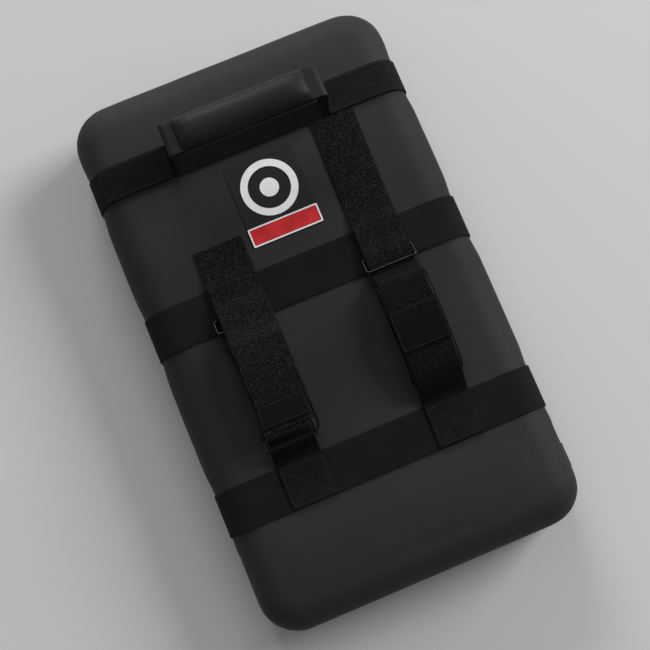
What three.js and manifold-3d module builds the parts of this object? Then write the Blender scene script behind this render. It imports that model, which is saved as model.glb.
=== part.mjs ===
// Kick shield: a zipped, foam-filled pad with a padded grip handle and two forearm straps.
//
// Millimetres. The origin is the centre of the flat strike face, +Z points out of the rear face,
// +Y runs along the pad towards the handle, and +X is to the right when the rear face is seen.

import * as THREE from 'three';
import { mergeVertices } from 'three/addons/utils/BufferGeometryUtils.js';
import Module from 'manifold-3d';

const wasm = await Module();
wasm.setup();

// ---- driving dimensions -------------------------------------------------------------------

const gap = 0.3; // between pieces that are sewn or rest on each other

const pad = { width: 362, length: 610, thickness: 104, cornerRadius: 42, rearEdge: 32, frontEdge: 14 };
const cover = { skin: 2, frontSeam: 20, rearSeamDepth: 36 };
const foam = { frontSheet: 20, rearSheet: 18 };

const webbing = { thickness: 1.5 };
const topBand = { fromTop: 93.5, width: 37.5 };
const middleBand = { fromCentre: 39, width: 48 };
const bottomBand = { fromBottom: 142, width: 48 };

const handle = {
  span: 178, standOff: 56, lean: 5, anchorLength: 82, rigidFrom: 38,
  gripLength: 150, gripWidth: 39, gripHeight: 34, coverSkin: 1.3, innerWebbing: 24,
};

const strap = { rightX: 86, leftX: -84.5, width: 51, thickness: 1.8, slant: 0.023, drift: 5.5, belowBar: 2.2 };
const leftTail = { width: 56, pastBand: 43, drift: 6.2 };
const arch = { height: 31.5, crown: 3.5, footRun: 25, headRun: 15 };
const ring = { wire: 3.2, sideClearance: 1, pitch: 15.5, lift: 11, cornerRadius: 4, windowRadius: 0.8 };
const keeper = { thickness: 1.2, barInset: 13 };
const armPad = { margin: 3.2, thickness: 6, footInset: 20, headInset: 15.5 };
const panel = { margin: 2, thickness: 1.2, length: 45 };
const lowerRing = { pastBand: 17.5, belowCrown: 7.5, tilt: 7.5, foldRadius: 5.5 };
const hookPatch = { length: 26, thickness: 0.8 };

const badge = { x: -2, width: 80, belowTopBand: 13.75, aboveMiddleBand: 24, thickness: 0.6, print: 0.4 };
const emblem = { margin: 4, stroke: 8, dot: 12 };
const bar = { height: 21, border: 1.6 };

const zipper = { run: 91, tapeWidth: 26, tape: 0.6, coilWidth: 5, coil: 1.2, stop: 4 };
const slider = { length: 13, width: 9, thickness: 3.2, fromStop: 5.5, lug: 2.6, lugLength: 2.4 };
const pull = { length: 26, width: 7, thickness: 1.2, pastPivot: 0.8, eye: 2.3 };

const cornerSteps = 7;
const edgeSteps = 5;

// ---- places that several pieces share -----------------------------------------------------

const rearSeam = pad.thickness - cover.rearSeamDepth;
const topBandY = pad.length / 2 - topBand.fromTop;
const topBandEdge = topBandY - topBand.width / 2;
const middleBandTop = middleBand.fromCentre + middleBand.width / 2;
const middleBandFoot = middleBand.fromCentre - middleBand.width / 2;
const bottomBandY = bottomBand.fromBottom - pad.length / 2;
const bottomBandFoot = bottomBandY - bottomBand.width / 2;
const bottomBandTop = bottomBandY + bottomBand.width / 2;

// Heights above the rear face of what is stacked on the bands.
const bandTop = gap + webbing.thickness;
const secondLayer = bandTop + gap;
const secondTop = secondLayer + webbing.thickness;

// ---- materials ----------------------------------------------------------------------------

function finish(color, roughness, metalness = 0) {
  return new THREE.MeshStandardMaterial({ color, roughness, metalness });
}
const leatherette = () => finish(0x3a393b, 0.55);
const webbingBlack = () => finish(0x1c1c1e, 0.85);
const looseLoop = () => finish(0x242427, 0.95);
const foamGrey = () => finish(0x6f7174, 0.9);
const foamWhite = () => finish(0xd9d6cc, 0.95);
const steelWire = () => finish(0x8f9296, 0.3, 1);
const zipMetal = () => finish(0x55575a, 0.4, 1);
const printBlack = () => finish(0x1a1a1c, 0.6);
const printWhite = () => finish(0xf2f2f0, 0.6);
const printRed = () => finish(0xd8202c, 0.6);

// ---- solids -------------------------------------------------------------------------------

function toSolid(geometry) {
  const bare = geometry.index ? geometry.toNonIndexed() : geometry.clone();
  bare.deleteAttribute('normal');
  bare.deleteAttribute('uv');
  const merged = mergeVertices(bare, 1e-4);
  return new wasm.Manifold(new wasm.Mesh({
    numProp: 3,
    vertProperties: new Float32Array(merged.attributes.position.array),
    triVerts: new Uint32Array(merged.index.array),
  }));
}

function toGeometry(solid) {
  const mesh = solid.getMesh();
  const geometry = new THREE.BufferGeometry();
  geometry.setAttribute('position', new THREE.BufferAttribute(mesh.vertProperties, 3));
  geometry.setIndex(new THREE.BufferAttribute(mesh.triVerts, 1));
  geometry.computeVertexNormals();
  return geometry;
}

function boxSolid(low, high) {
  const size = high.map((value, axis) => value - low[axis]);
  const geometry = new THREE.BoxGeometry(...size);
  geometry.translate(...low.map((value, axis) => value + size[axis] / 2));
  return toSolid(geometry);
}

function roundedRectangle(width, height, radius, path = new THREE.Shape()) {
  const [x, y] = [width / 2 - radius, height / 2 - radius];
  path.absarc(x, y, radius, 0, Math.PI / 2);
  path.absarc(-x, y, radius, Math.PI / 2, Math.PI);
  path.absarc(-x, -y, radius, Math.PI, Math.PI * 1.5);
  path.absarc(x, -y, radius, Math.PI * 1.5, Math.PI * 2);
  return path;
}

// A block of the pad's outline from z = low to z = high, with its top and bottom edges rounded.
function roundedBlock(inset, edgeRadius, low, high) {
  const outline = roundedRectangle(pad.width - 2 * inset, pad.length - 2 * inset, pad.cornerRadius - inset);
  const geometry = new THREE.ExtrudeGeometry(outline, {
    depth: high - low - 2 * edgeRadius,
    bevelEnabled: true,
    bevelThickness: edgeRadius,
    bevelSize: edgeRadius,
    bevelOffset: -edgeRadius,
    bevelSegments: edgeSteps,
    curveSegments: cornerSteps,
  });
  geometry.translate(0, 0, low + edgeRadius);
  return toSolid(geometry);
}

// The pad's whole outer shape, moved inwards by inset, or outwards where inset is negative.
function padSolid(inset) {
  const spare = 60;
  const rear = roundedBlock(inset, pad.rearEdge - inset, inset - spare, pad.thickness - inset);
  const front = roundedBlock(inset, pad.frontEdge - inset, inset, pad.thickness + spare - inset);
  return rear.intersect(front);
}

// A layer that lies on the pad: from one height above its skin to another, cut to a box.
function layerOnPad(bottom, thickness, low, high) {
  return padSolid(-bottom - thickness).subtract(padSolid(-bottom)).intersect(boxSolid(low, high));
}

// A smooth side view through (y, height above the rear face) points, with an optional straight end.
function sideCurve(points, straightTo) {
  const path = new THREE.SplineCurve(points.map(([y, z]) => new THREE.Vector2(y, z)));
  const line = path.getPoints((points.length - 1) * 3);
  if (straightTo !== undefined) line.push(new THREE.Vector2(straightTo, line.at(-1).y));
  return line;
}

// The closed outline between two offsets of a side view; positive offsets are to its left.
function offsetOutline(line, lower, upper) {
  const shifted = (offset) => line.map((point, i) => {
    const before = line[Math.max(i - 1, 0)];
    const after = line[Math.min(i + 1, line.length - 1)];
    const along = after.clone().sub(before).normalize();
    return new THREE.Vector2(point.x - along.y * offset, point.y + along.x * offset);
  });
  return new THREE.Shape([...shifted(lower), ...shifted(upper).reverse()]);
}

// Extrudes a (y, height above the rear face) outline along X.
function acrossX(shape, centre, width) {
  const geometry = new THREE.ExtrudeGeometry(shape, { depth: width, bevelEnabled: false, curveSegments: 6 });
  const turned = new THREE.Matrix4().makeBasis(
    new THREE.Vector3(0, 1, 0), new THREE.Vector3(0, 0, 1), new THREE.Vector3(1, 0, 0),
  );
  geometry.applyMatrix4(turned);
  geometry.translate(centre - width / 2, 0, pad.thickness);
  return geometry;
}

function ribbon(points, lower, upper, centre, width, straightTo) {
  return acrossX(offsetOutline(sideCurve(points, straightTo), lower, upper), centre, width);
}

function plateAt(shape, thickness, x, y, bottom) {
  const options = { depth: thickness, bevelEnabled: false, curveSegments: 20 };
  const geometry = new THREE.ExtrudeGeometry(shape, options);
  geometry.translate(x, y, pad.thickness + bottom);
  return geometry;
}

function disc(radius, hole = 0) {
  const shape = new THREE.Shape();
  shape.absarc(0, 0, radius, 0, Math.PI * 2);
  if (hole > 0) shape.holes.push(new THREE.Path().absarc(0, 0, hole, 0, Math.PI * 2));
  return shape;
}

// ---- the group ----------------------------------------------------------------------------

const shield = new THREE.Group();

function addPiece(name, geometry, material, parent = shield) {
  const mesh = new THREE.Mesh(geometry, material);
  mesh.name = name;
  parent.add(mesh);
  return mesh;
}

// ---- cover and foam -----------------------------------------------------------------------

function slab(low, high) {
  const reach = pad.length;
  return boxSolid([-reach, -reach, low], [reach, reach, high]);
}

function addCover() {
  const shell = padSolid(0).subtract(padSolid(cover.skin));
  const above = pad.thickness + gap;
  addPiece('front_cover', toGeometry(shell.intersect(slab(-gap, cover.frontSeam))), leatherette());
  addPiece('side_gusset', toGeometry(shell.intersect(slab(cover.frontSeam + gap, rearSeam))), leatherette());
  addPiece('rear_cover', toGeometry(shell.intersect(slab(rearSeam + gap, above))), leatherette());
}

function addFoam() {
  const block = padSolid(cover.skin + gap);
  const bottom = cover.skin + gap;
  const frontTop = bottom + foam.frontSheet;
  const rearBottom = pad.thickness - bottom - foam.rearSheet;
  addPiece('front_foam_sheet', toGeometry(block.intersect(slab(0, frontTop))), foamGrey());
  addPiece('foam_core', toGeometry(block.intersect(slab(frontTop + gap, rearBottom - gap))), foamWhite());
  addPiece('rear_foam_sheet', toGeometry(block.intersect(slab(rearBottom, pad.thickness))), foamGrey());
}

// ---- webbing bands ------------------------------------------------------------------------

function addBand(name, y, width) {
  const reach = pad.width;
  const low = [-reach, y - width / 2, cover.frontSeam];
  const high = [reach, y + width / 2, pad.thickness + reach];
  addPiece(name, toGeometry(layerOnPad(gap, webbing.thickness, low, high)), webbingBlack());
}

// ---- handle -------------------------------------------------------------------------------

const legX = (handle.span - webbing.thickness) / 2;
const legWidth = topBand.width;
const hingeHeight = secondTop + gap;

function addHandleAnchor(name, side) {
  const inner = legX + webbing.thickness + gap;
  const ends = [side * inner, side * (inner + handle.anchorLength)].sort((a, b) => a - b);
  const low = [ends[0], topBandY - legWidth / 2, rearSeam];
  const high = [ends[1], topBandY + legWidth / 2, pad.thickness + pad.width];
  addPiece(name, toGeometry(layerOnPad(secondLayer, webbing.thickness, low, high)), webbingBlack());
}

// An ellipse in the (y, z) plane with a hole, extruded along X.
function gripTube(width, height, hole, length) {
  const shape = new THREE.Shape();
  shape.absellipse(0, 0, width / 2, height / 2, 0, Math.PI * 2);
  shape.holes.push(hole);
  const geometry = acrossX(shape, 0, length);
  geometry.translate(0, 0, -pad.thickness);
  return geometry;
}

// The legs bend as the handle swings, so each is a piece of its own below the stiff loop.
function addHandleLeg(name, side, swing, joinZ) {
  const bottom = (legWidth / 2) * Math.sin(THREE.MathUtils.degToRad(handle.lean)) + gap;
  const leg = new THREE.BoxGeometry(webbing.thickness, legWidth, joinZ - bottom);
  leg.translate(side * legX, 0, (joinZ + bottom) / 2);
  addPiece(name, leg, webbingBlack(), swing);
}

function addHandleWebbing(swing, joinZ, gripZ) {
  const half = webbing.thickness / 2;
  const wide = legWidth / 2;
  const narrow = handle.innerWebbing / 2;
  let loop = boxSolid([-legX, -narrow, gripZ - half], [legX, narrow, gripZ + half]);
  for (const side of [-1, 1]) {
    const [near, far] = [side * (handle.gripLength / 2 + gap), side * legX].sort((a, b) => a - b);
    loop = loop.add(boxSolid([near, -wide, gripZ - half], [far, wide, gripZ + half]));
    const wall = side * legX;
    loop = loop.add(boxSolid([wall - half, -wide, joinZ + gap], [wall + half, wide, gripZ + half]));
  }
  addPiece('handle_webbing', toGeometry(loop), webbingBlack(), swing);
}

function addGrip(grip) {
  const coreWidth = handle.gripWidth - 2 * (handle.coverSkin + gap);
  const coreHeight = handle.gripHeight - 2 * (handle.coverSkin + gap);
  const slot = new THREE.Path();
  const [slotY, slotZ] = [handle.innerWebbing / 2 + gap, webbing.thickness / 2 + gap];
  slot.moveTo(-slotY, -slotZ).lineTo(slotY, -slotZ).lineTo(slotY, slotZ).lineTo(-slotY, slotZ).closePath();
  addPiece('handle_foam', gripTube(coreWidth, coreHeight, slot, handle.gripLength - 2), foamGrey(), grip);
  const bore = new THREE.Path().absellipse(0, 0, coreWidth / 2 + gap, coreHeight / 2 + gap, 0, Math.PI * 2);
  const sleeve = gripTube(handle.gripWidth, handle.gripHeight, bore, handle.gripLength);
  addPiece('handle_cover', sleeve, leatherette(), grip);
}

function addHandle() {
  const swing = new THREE.Group();
  swing.position.set(0, topBandY, pad.thickness + hingeHeight);
  swing.rotation.x = THREE.MathUtils.degToRad(-handle.lean);
  shield.add(swing);

  const gripZ = handle.standOff - hingeHeight;
  const joinZ = handle.rigidFrom - hingeHeight;
  addHandleLeg('handle_leg_left', -1, swing, joinZ);
  addHandleLeg('handle_leg_right', 1, swing, joinZ);
  addHandleWebbing(swing, joinZ, gripZ);

  const grip = new THREE.Group();
  grip.position.z = gripZ;
  swing.add(grip);
  addGrip(grip);
}

// ---- rectangular rings and what holds them ------------------------------------------------

const wireRadius = ring.wire / 2;
const ringInside = strap.width + 2 * ring.sideClearance;
const keeperWidth = ringInside - 2;
const keeperBarY = middleBandFoot + keeper.barInset;
const keeperBarHeight = bandTop + gap + keeper.thickness + gap + wireRadius;
const keeperTop = keeperBarHeight + wireRadius + gap + keeper.thickness;
const keeperEnd = middleBandTop - 1;
const keeperSewnTop = bandTop + 2 * (gap + keeper.thickness);
const ringTilt = Math.asin((ring.lift - keeperBarHeight) / ring.pitch);
const ringBarY = keeperBarY - ring.pitch * Math.cos(ringTilt);

// A flat rectangular ring whose bars lie along X at y = 0 and y = reach.
function ringGeometry(reach) {
  const length = Math.abs(reach) + ring.wire;
  const outline = roundedRectangle(ringInside + 2 * ring.wire, length, ring.cornerRadius);
  const window = roundedRectangle(ringInside, length - 2 * ring.wire, ring.windowRadius, new THREE.Path());
  outline.holes.push(window);
  const edge = ring.wire / 3;
  const geometry = new THREE.ExtrudeGeometry(outline, {
    depth: ring.wire - 2 * edge,
    bevelEnabled: true,
    bevelThickness: edge,
    bevelSize: edge,
    bevelOffset: -edge,
    bevelSegments: 1,
    curveSegments: 3,
  });
  geometry.translate(0, reach / 2, edge - wireRadius);
  return geometry;
}

function addRing(name, x, pivotY, pivotHeight, reach, tilt) {
  const mesh = addPiece(name, ringGeometry(reach), steelWire());
  mesh.position.set(x, pivotY, pad.thickness + pivotHeight);
  mesh.rotation.x = tilt;
}

// Points of an arc in a side view, from one angle to another, in degrees.
function arcPoints(y, height, radius, from, to, steps = 8) {
  return Array.from({ length: steps + 1 }, (_, i) => {
    const angle = THREE.MathUtils.degToRad(from + ((to - from) * i) / steps);
    return new THREE.Vector2(y + radius * Math.cos(angle), height + radius * Math.sin(angle));
  });
}

// Webbing that is sewn to the middle band and folded round a ring's upper bar.
function addRingKeeper(name, x) {
  const half = keeper.thickness / 2;
  const sewnLow = bandTop + gap + half;
  const sewnHigh = keeperSewnTop - half;
  const line = [
    new THREE.Vector2(keeperEnd, sewnHigh),
    new THREE.Vector2(keeperBarY + 12, sewnHigh),
    ...arcPoints(keeperBarY, keeperBarHeight, wireRadius + gap + half, 75, 270),
    new THREE.Vector2(keeperEnd, sewnLow),
  ];
  addPiece(name, acrossX(offsetOutline(line, -half, half), x, keeperWidth), webbingBlack());
}

// ---- forearm straps -----------------------------------------------------------------------

const strapUnderBar = ring.lift - wireRadius - strap.belowBar - strap.thickness;
const lowerRingY = bottomBandTop + lowerRing.pastBand;
const lowerRingTilt = THREE.MathUtils.degToRad(lowerRing.tilt);
const upperBarY = lowerRingY + ring.pitch * Math.cos(lowerRingTilt);
const lowerRingHeight = arch.height - lowerRing.belowCrown;
const upperBarHeight = lowerRingHeight + ring.pitch * Math.sin(lowerRingTilt);
const underFold = upperBarHeight - lowerRing.foldRadius - gap - strap.thickness - 0.8;

// The underside of an arch from one y to another: a low crown that falls off towards its ends.
function crownPoints(from, to, count = 5) {
  const centre = (from + to) / 2;
  return Array.from({ length: count }, (_, i) => {
    const y = from + ((to - from) * i) / (count - 1);
    const share = (y - centre) / (to - centre);
    return [y, arch.height - arch.crown * share * share];
  });
}

const ofArch = (share) => share * arch.height;
const crownEnd = ringBarY - arch.headRun - 8;
const rightFoot = [
  [bottomBandTop + 2, secondLayer], [bottomBandTop + 8, 4.5], [bottomBandTop + 15, ofArch(0.44)],
  [bottomBandTop + arch.footRun, ofArch(0.73)],
];
const rightCrown = crownPoints(bottomBandTop + arch.footRun + 14, crownEnd);
const headShoulder = [ringBarY - arch.headRun, ofArch(0.57)];
const archHead = [headShoulder, [ringBarY - 6.5, ofArch(0.27)], [ringBarY, strapUnderBar]];
const leftFoot = [[upperBarY, underFold], [upperBarY + 6, underFold + 2.9], [upperBarY + 16, ofArch(0.82)]];
const leftCrown = crownPoints(upperBarY + 28, crownEnd);
const underRing = [[lowerRingY - 2, underFold - 3.4], [lowerRingY + 8, underFold - 1.6]];

function cutBetween(geometry, from, to) {
  const reach = pad.width;
  const limits = boxSolid([-reach, from, 0], [reach, to, pad.thickness + reach]);
  return toGeometry(toSolid(geometry).intersect(limits));
}

// A strap that doesn't run square to its band: each point moves sideways by a shift for its y.
function drifted(geometry, shift) {
  const points = geometry.attributes.position;
  for (let i = 0; i < points.count; i += 1) points.setX(i, points.getX(i) + shift(points.getY(i)));
  return geometry;
}

const rise = (y, from, to) => THREE.MathUtils.smoothstep(y, from, to);
const rightSlant = (y) => strap.slant * (y - ringBarY);
const leftTailDrift = (y) => leftTail.drift * rise(y, upperBarY - 4, upperBarY + 30);
const leftPadDrift = (y) => strap.drift * (1 - rise(y, ringBarY - 36, ringBarY - 8));
const leftDrift = (y) => leftPadDrift(y) * rise(y, upperBarY - 4, upperBarY + 24);

function addRightArmStrap() {
  const sewn = [bottomBandFoot + 1, bottomBandY, bottomBandTop - 6].map((y) => [y, secondLayer]);
  const past = [[ringBarY + 5, strapUnderBar + 0.6]];
  const points = [...sewn, ...rightFoot, ...rightCrown, ...archHead, ...past];
  const whole = ribbon(points, 0, strap.thickness, strap.rightX, strap.width);
  const cut = cutBetween(whole, bottomBandFoot, ringBarY - gap);
  addPiece('right_arm_strap', drifted(cut, rightSlant), webbingBlack());
}

function addLeftArmStrap() {
  const points = [...leftFoot, ...leftCrown, ...archHead, [ringBarY + 6, strapUnderBar]];
  const whole = ribbon(points, 0, strap.thickness, strap.leftX, strap.width);
  addPiece('left_arm_strap', drifted(whole, leftDrift), webbingBlack());
}

function addArmPad(name, x, points, shift) {
  const whole = ribbon(points, -gap - armPad.thickness, -gap, x, strap.width + 2 * armPad.margin);
  const [from, to] = [bottomBandTop + armPad.footInset, ringBarY - armPad.headInset];
  addPiece(name, drifted(cutBetween(whole, from, to), shift), leatherette());
}

// The leatherette loop on an arm pad that the strap runs through, in the middle of the run it has.
function addPadPanel(name, x, points, runStart, shift) {
  const bottom = strap.thickness + gap;
  const whole = ribbon(points, bottom, bottom + panel.thickness, x, strap.width + 2 * panel.margin);
  const half = Math.min(panel.length, crownEnd - runStart) / 2;
  const padCentre = (bottomBandTop + armPad.footInset + ringBarY - armPad.headInset) / 2;
  const centre = THREE.MathUtils.clamp(padCentre, runStart + half, crownEnd - half);
  addPiece(name, drifted(cutBetween(whole, centre - half, centre + half), shift), leatherette());
}

// The webbing from the bottom band that folds round the lower bar of the left adjuster ring.
function addLowerRingWebbing() {
  const half = webbing.thickness / 2;
  const wrap = wireRadius + gap + half;
  const rise = [
    [bottomBandFoot + 1, secondLayer + half], [bottomBandTop, secondLayer + half], [bottomBandTop + 5, 4],
    [bottomBandTop + 11, 9.5], [lowerRingY - wrap - 0.8, lowerRingHeight - 6],
  ].map(([y, z]) => new THREE.Vector2(y, z));
  const fold = arcPoints(lowerRingY, lowerRingHeight, wrap, 180, -9);
  const line = [...rise, ...fold, new THREE.Vector2(lowerRingY + wrap - 0.8, lowerRingHeight - 6.5)];
  const geometry = acrossX(offsetOutline(line, -half, half), strap.leftX, strap.width - 1);
  addPiece('left_ring_webbing', geometry, webbingBlack());
}

// The strap's fold round the upper bar of the adjuster ring, open towards the handle end.
function addStrapFold() {
  const outer = arcPoints(upperBarY, upperBarHeight, lowerRing.foldRadius, 75, 290, 14);
  const inner = arcPoints(upperBarY, upperBarHeight, wireRadius + gap, 290, 75, 14);
  const section = new THREE.Shape([...outer, ...inner]);
  addPiece('left_strap_fold', acrossX(section, strap.leftX, strap.width), looseLoop());
}

// The last bends of a tail's underside: over the middle band's keeper, then down on to the pad.
const tailSettles = [
  [keeperBarY + 18, keeperSewnTop + 0.8], [keeperEnd - 1, keeperSewnTop + 0.5],
  [middleBandTop + 9, bandTop + 0.8], [middleBandTop + 19, gap + 0.5], [middleBandTop + 30, gap],
  [middleBandTop + 38, gap],
];

function addRightTail() {
  const past = [[ringBarY - 5, strapUnderBar - 0.5]];
  const overKeeper = [
    [ringBarY, strapUnderBar], [keeperBarY - 8, keeperTop - 0.6], [keeperBarY, keeperTop + 0.7],
    [keeperBarY + 8, keeperTop - 1.1],
  ];
  const end = topBandEdge - 0.75;
  const points = [...past, ...overKeeper, ...tailSettles];
  const strip = ribbon(points, 0, strap.thickness, strap.rightX, strap.width, end);
  addPiece('right_strap_tail', drifted(cutBetween(strip, ringBarY, end + 1), rightSlant), looseLoop());
}

function addLeftTail() {
  const root = upperBarHeight + lowerRing.foldRadius + gap;
  const stack = strap.thickness + panel.thickness + 3 * gap + 0.5;
  const points = [
    [upperBarY, root], [upperBarY + 15, root + 0.7], ...leftCrown.map(([y, z]) => [y, z + stack]),
    [headShoulder[0], headShoulder[1] + stack + 2], [ringBarY - 4, ofArch(0.57)],
    [keeperBarY - 8, keeperTop + 5.7], [keeperBarY + 6, keeperTop + 2.2], ...tailSettles,
  ];
  const end = middleBandTop + leftTail.pastBand;
  const strip = ribbon(points, 0, strap.thickness, strap.leftX, leftTail.width, end);
  addPiece('left_strap_tail', drifted(strip, leftTailDrift), looseLoop());
  const bottom = strap.thickness + gap;
  const patch = ribbon(points, bottom, bottom + hookPatch.thickness, strap.leftX, leftTail.width - 2);
  const from = upperBarY + 5;
  const cut = cutBetween(patch, from, from + hookPatch.length);
  addPiece('left_hook_patch', drifted(cut, leftTailDrift), webbingBlack());
}

// ---- badge --------------------------------------------------------------------------------

function addBadge() {
  const [low, high] = [middleBandTop + badge.aboveMiddleBand, topBandEdge - badge.belowTopBand];
  const base = roundedRectangle(badge.width, high - low, 2);
  addPiece('badge_base', plateAt(base, badge.thickness, badge.x, (low + high) / 2, gap), printBlack());

  const printed = gap + badge.thickness + gap;
  const emblemSpace = high - low - bar.height;
  const radius = Math.min(emblemSpace, badge.width) / 2 - emblem.margin;
  const emblemY = high - emblemSpace / 2;
  const circle = disc(radius, Math.max(radius - emblem.stroke, radius / 2));
  addPiece('badge_circle', plateAt(circle, badge.print, badge.x, emblemY, printed), printWhite());
  const dot = disc(Math.min(emblem.dot, radius / 3));
  addPiece('badge_dot', plateAt(dot, badge.print, badge.x, emblemY, printed), printWhite());

  const rim = roundedRectangle(badge.width, bar.height, 1.5);
  const [innerWidth, innerHeight] = [badge.width - 2 * bar.border, bar.height - 2 * bar.border];
  rim.holes.push(roundedRectangle(innerWidth, innerHeight, 0.8, new THREE.Path()));
  const barY = low + bar.height / 2;
  addPiece('badge_bar_rim', plateAt(rim, badge.print, badge.x, barY, printed), printWhite());
  const fill = roundedRectangle(innerWidth - 2 * gap, innerHeight - 2 * gap, 0.6);
  addPiece('badge_bar', plateAt(fill, badge.print, badge.x, barY, printed), printRed());
}

// ---- zipper round the lower end -----------------------------------------------------------

const zipperZ = (cover.frontSeam + rearSeam) / 2;
const zipperTop = zipper.run - pad.length / 2;
const tapeTop = gap + zipper.tape;
const coilTop = tapeTop + gap + zipper.coil;
const tapeFace = pad.width / 2 + tapeTop + gap;

function addZipper() {
  const reach = pad.length;
  const half = zipper.coilWidth / 2;
  const strip = (bottom, thickness, width, end) => layerOnPad(
    bottom, thickness, [-reach, -reach, zipperZ - width / 2], [reach, end, zipperZ + width / 2],
  );
  const coilEnd = zipperTop - 1 - zipper.stop;
  addPiece('zipper_tape', toGeometry(strip(gap, zipper.tape, zipper.tapeWidth, zipperTop)), webbingBlack());
  const coil = strip(tapeTop + gap, zipper.coil, zipper.coilWidth, coilEnd);
  addPiece('zipper_coil', toGeometry(coil), webbingBlack());
  for (const [name, side] of [['zipper_stop_left', -1], ['zipper_stop_right', 1]]) {
    const [low, high] = [side * tapeFace, side * (tapeFace + zipper.coil)].sort((a, b) => a - b);
    const stop = boxSolid([low, coilEnd + gap, zipperZ - half], [high, zipperTop - 1, zipperZ + half]);
    addPiece(name, toGeometry(stop), zipMetal());
  }
}

function addSlider() {
  const front = zipperTop - 1 - zipper.stop - slider.fromStop;
  const middle = front - slider.length / 2;
  const half = slider.width / 2;
  const outer = tapeFace + slider.thickness;
  const body = boxSolid([tapeFace, front - slider.length, zipperZ - half], [outer, front, zipperZ + half]);
  const groove = boxSolid(
    [tapeFace - 1, front - slider.length - 1, zipperZ - zipper.coilWidth / 2 - gap],
    [pad.width / 2 + coilTop + gap, front + 1, zipperZ + zipper.coilWidth / 2 + gap],
  );
  const lugHalf = slider.lugLength / 2;
  const lug = boxSolid(
    [outer - 0.2, middle - lugHalf, zipperZ - 1], [outer + slider.lug, middle + lugHalf, zipperZ + 1],
  );
  addPiece('zipper_slider', toGeometry(body.subtract(groove).add(lug)), zipMetal());

  const low = outer + (slider.lug - pull.thickness) / 2;
  const high = low + pull.thickness;
  const side = pull.width / 2;
  const end = middle + pull.pastPivot;
  const tab = boxSolid([low, middle - pull.length, zipperZ - side], [high, end, zipperZ + side]);
  const fork = 1 + gap;
  const notch = boxSolid([low - 1, middle - pull.eye, zipperZ - fork], [high + 1, end + 1, zipperZ + fork]);
  addPiece('zipper_pull', toGeometry(tab.subtract(notch)), zipMetal());
}

// ---- assembly -----------------------------------------------------------------------------

addCover();
addFoam();
addBand('top_band', topBandY, topBand.width);
addBand('middle_band', middleBand.fromCentre, middleBand.width);
addBand('bottom_band', bottomBandY, bottomBand.width);
addBadge();
addHandleAnchor('handle_anchor_left', -1);
addHandleAnchor('handle_anchor_right', 1);
addHandle();

addRingKeeper('left_ring_keeper', strap.leftX);
addRingKeeper('right_ring_keeper', strap.rightX);
addRing('left_upper_ring', strap.leftX, keeperBarY, keeperBarHeight, -ring.pitch, -ringTilt);
addRing('right_ring', strap.rightX, keeperBarY, keeperBarHeight, -ring.pitch, -ringTilt);
addRing('left_lower_ring', strap.leftX, lowerRingY, lowerRingHeight, ring.pitch, lowerRingTilt);

addLeftArmStrap();
addRightArmStrap();
const leftArch = [...leftFoot, ...leftCrown, ...archHead];
const rightArch = [...rightFoot, ...rightCrown, ...archHead];
addArmPad('left_arm_pad', strap.leftX, [...underRing, ...leftArch], leftPadDrift);
addArmPad('right_arm_pad', strap.rightX, rightArch, rightSlant);
addPadPanel('left_pad_panel', strap.leftX, leftArch, upperBarY + lowerRing.foldRadius + 3, leftDrift);
addPadPanel('right_pad_panel', strap.rightX, rightArch, bottomBandTop + armPad.footInset, rightSlant);
addLowerRingWebbing();
addStrapFold();
addLeftTail();
addRightTail();

addZipper();
addSlider();

export default shield;
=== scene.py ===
"""Looks of the kick shield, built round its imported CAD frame.

Metres. +Z points out of the rear face, +Y runs towards the handle, and the strike face lies on the floor.
"""

import math

import bmesh
import bpy
import numpy as np
from mathutils import Matrix, Vector, noise
from mathutils.bvhtree import BVHTree


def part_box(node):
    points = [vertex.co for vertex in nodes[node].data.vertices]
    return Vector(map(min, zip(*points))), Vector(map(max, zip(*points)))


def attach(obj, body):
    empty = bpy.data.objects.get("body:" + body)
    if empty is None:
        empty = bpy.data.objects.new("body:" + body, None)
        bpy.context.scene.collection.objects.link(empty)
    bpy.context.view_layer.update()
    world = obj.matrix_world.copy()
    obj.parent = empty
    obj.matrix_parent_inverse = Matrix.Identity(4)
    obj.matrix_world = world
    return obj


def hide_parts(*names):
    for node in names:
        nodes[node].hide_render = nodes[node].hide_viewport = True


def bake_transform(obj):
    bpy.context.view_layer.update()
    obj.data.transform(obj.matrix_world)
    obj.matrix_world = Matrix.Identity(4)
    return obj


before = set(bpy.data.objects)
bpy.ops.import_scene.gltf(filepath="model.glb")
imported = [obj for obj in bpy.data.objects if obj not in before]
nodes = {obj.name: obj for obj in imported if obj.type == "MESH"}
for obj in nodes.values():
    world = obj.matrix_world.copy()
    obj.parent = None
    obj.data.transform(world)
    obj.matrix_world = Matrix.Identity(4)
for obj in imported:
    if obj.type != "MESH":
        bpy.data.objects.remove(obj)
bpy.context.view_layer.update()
scene = bpy.context.scene

MM = 0.001
GAP = 0.3 * MM
UP = np.array([0.0, 0.0, 1.0])
ALONG_X = np.array([1.0, 0.0, 0.0])
ALONG_Y = np.array([0.0, 1.0, 0.0])


def box(*names):
    """The lowest and highest corner round several CAD nodes, as arrays."""
    boxes = [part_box(name) for name in names]
    return np.min([b[0] for b in boxes], axis=0), np.max([b[1] for b in boxes], axis=0)


# ---- sizes of the frame ---------------------------------------------------------------------

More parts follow.
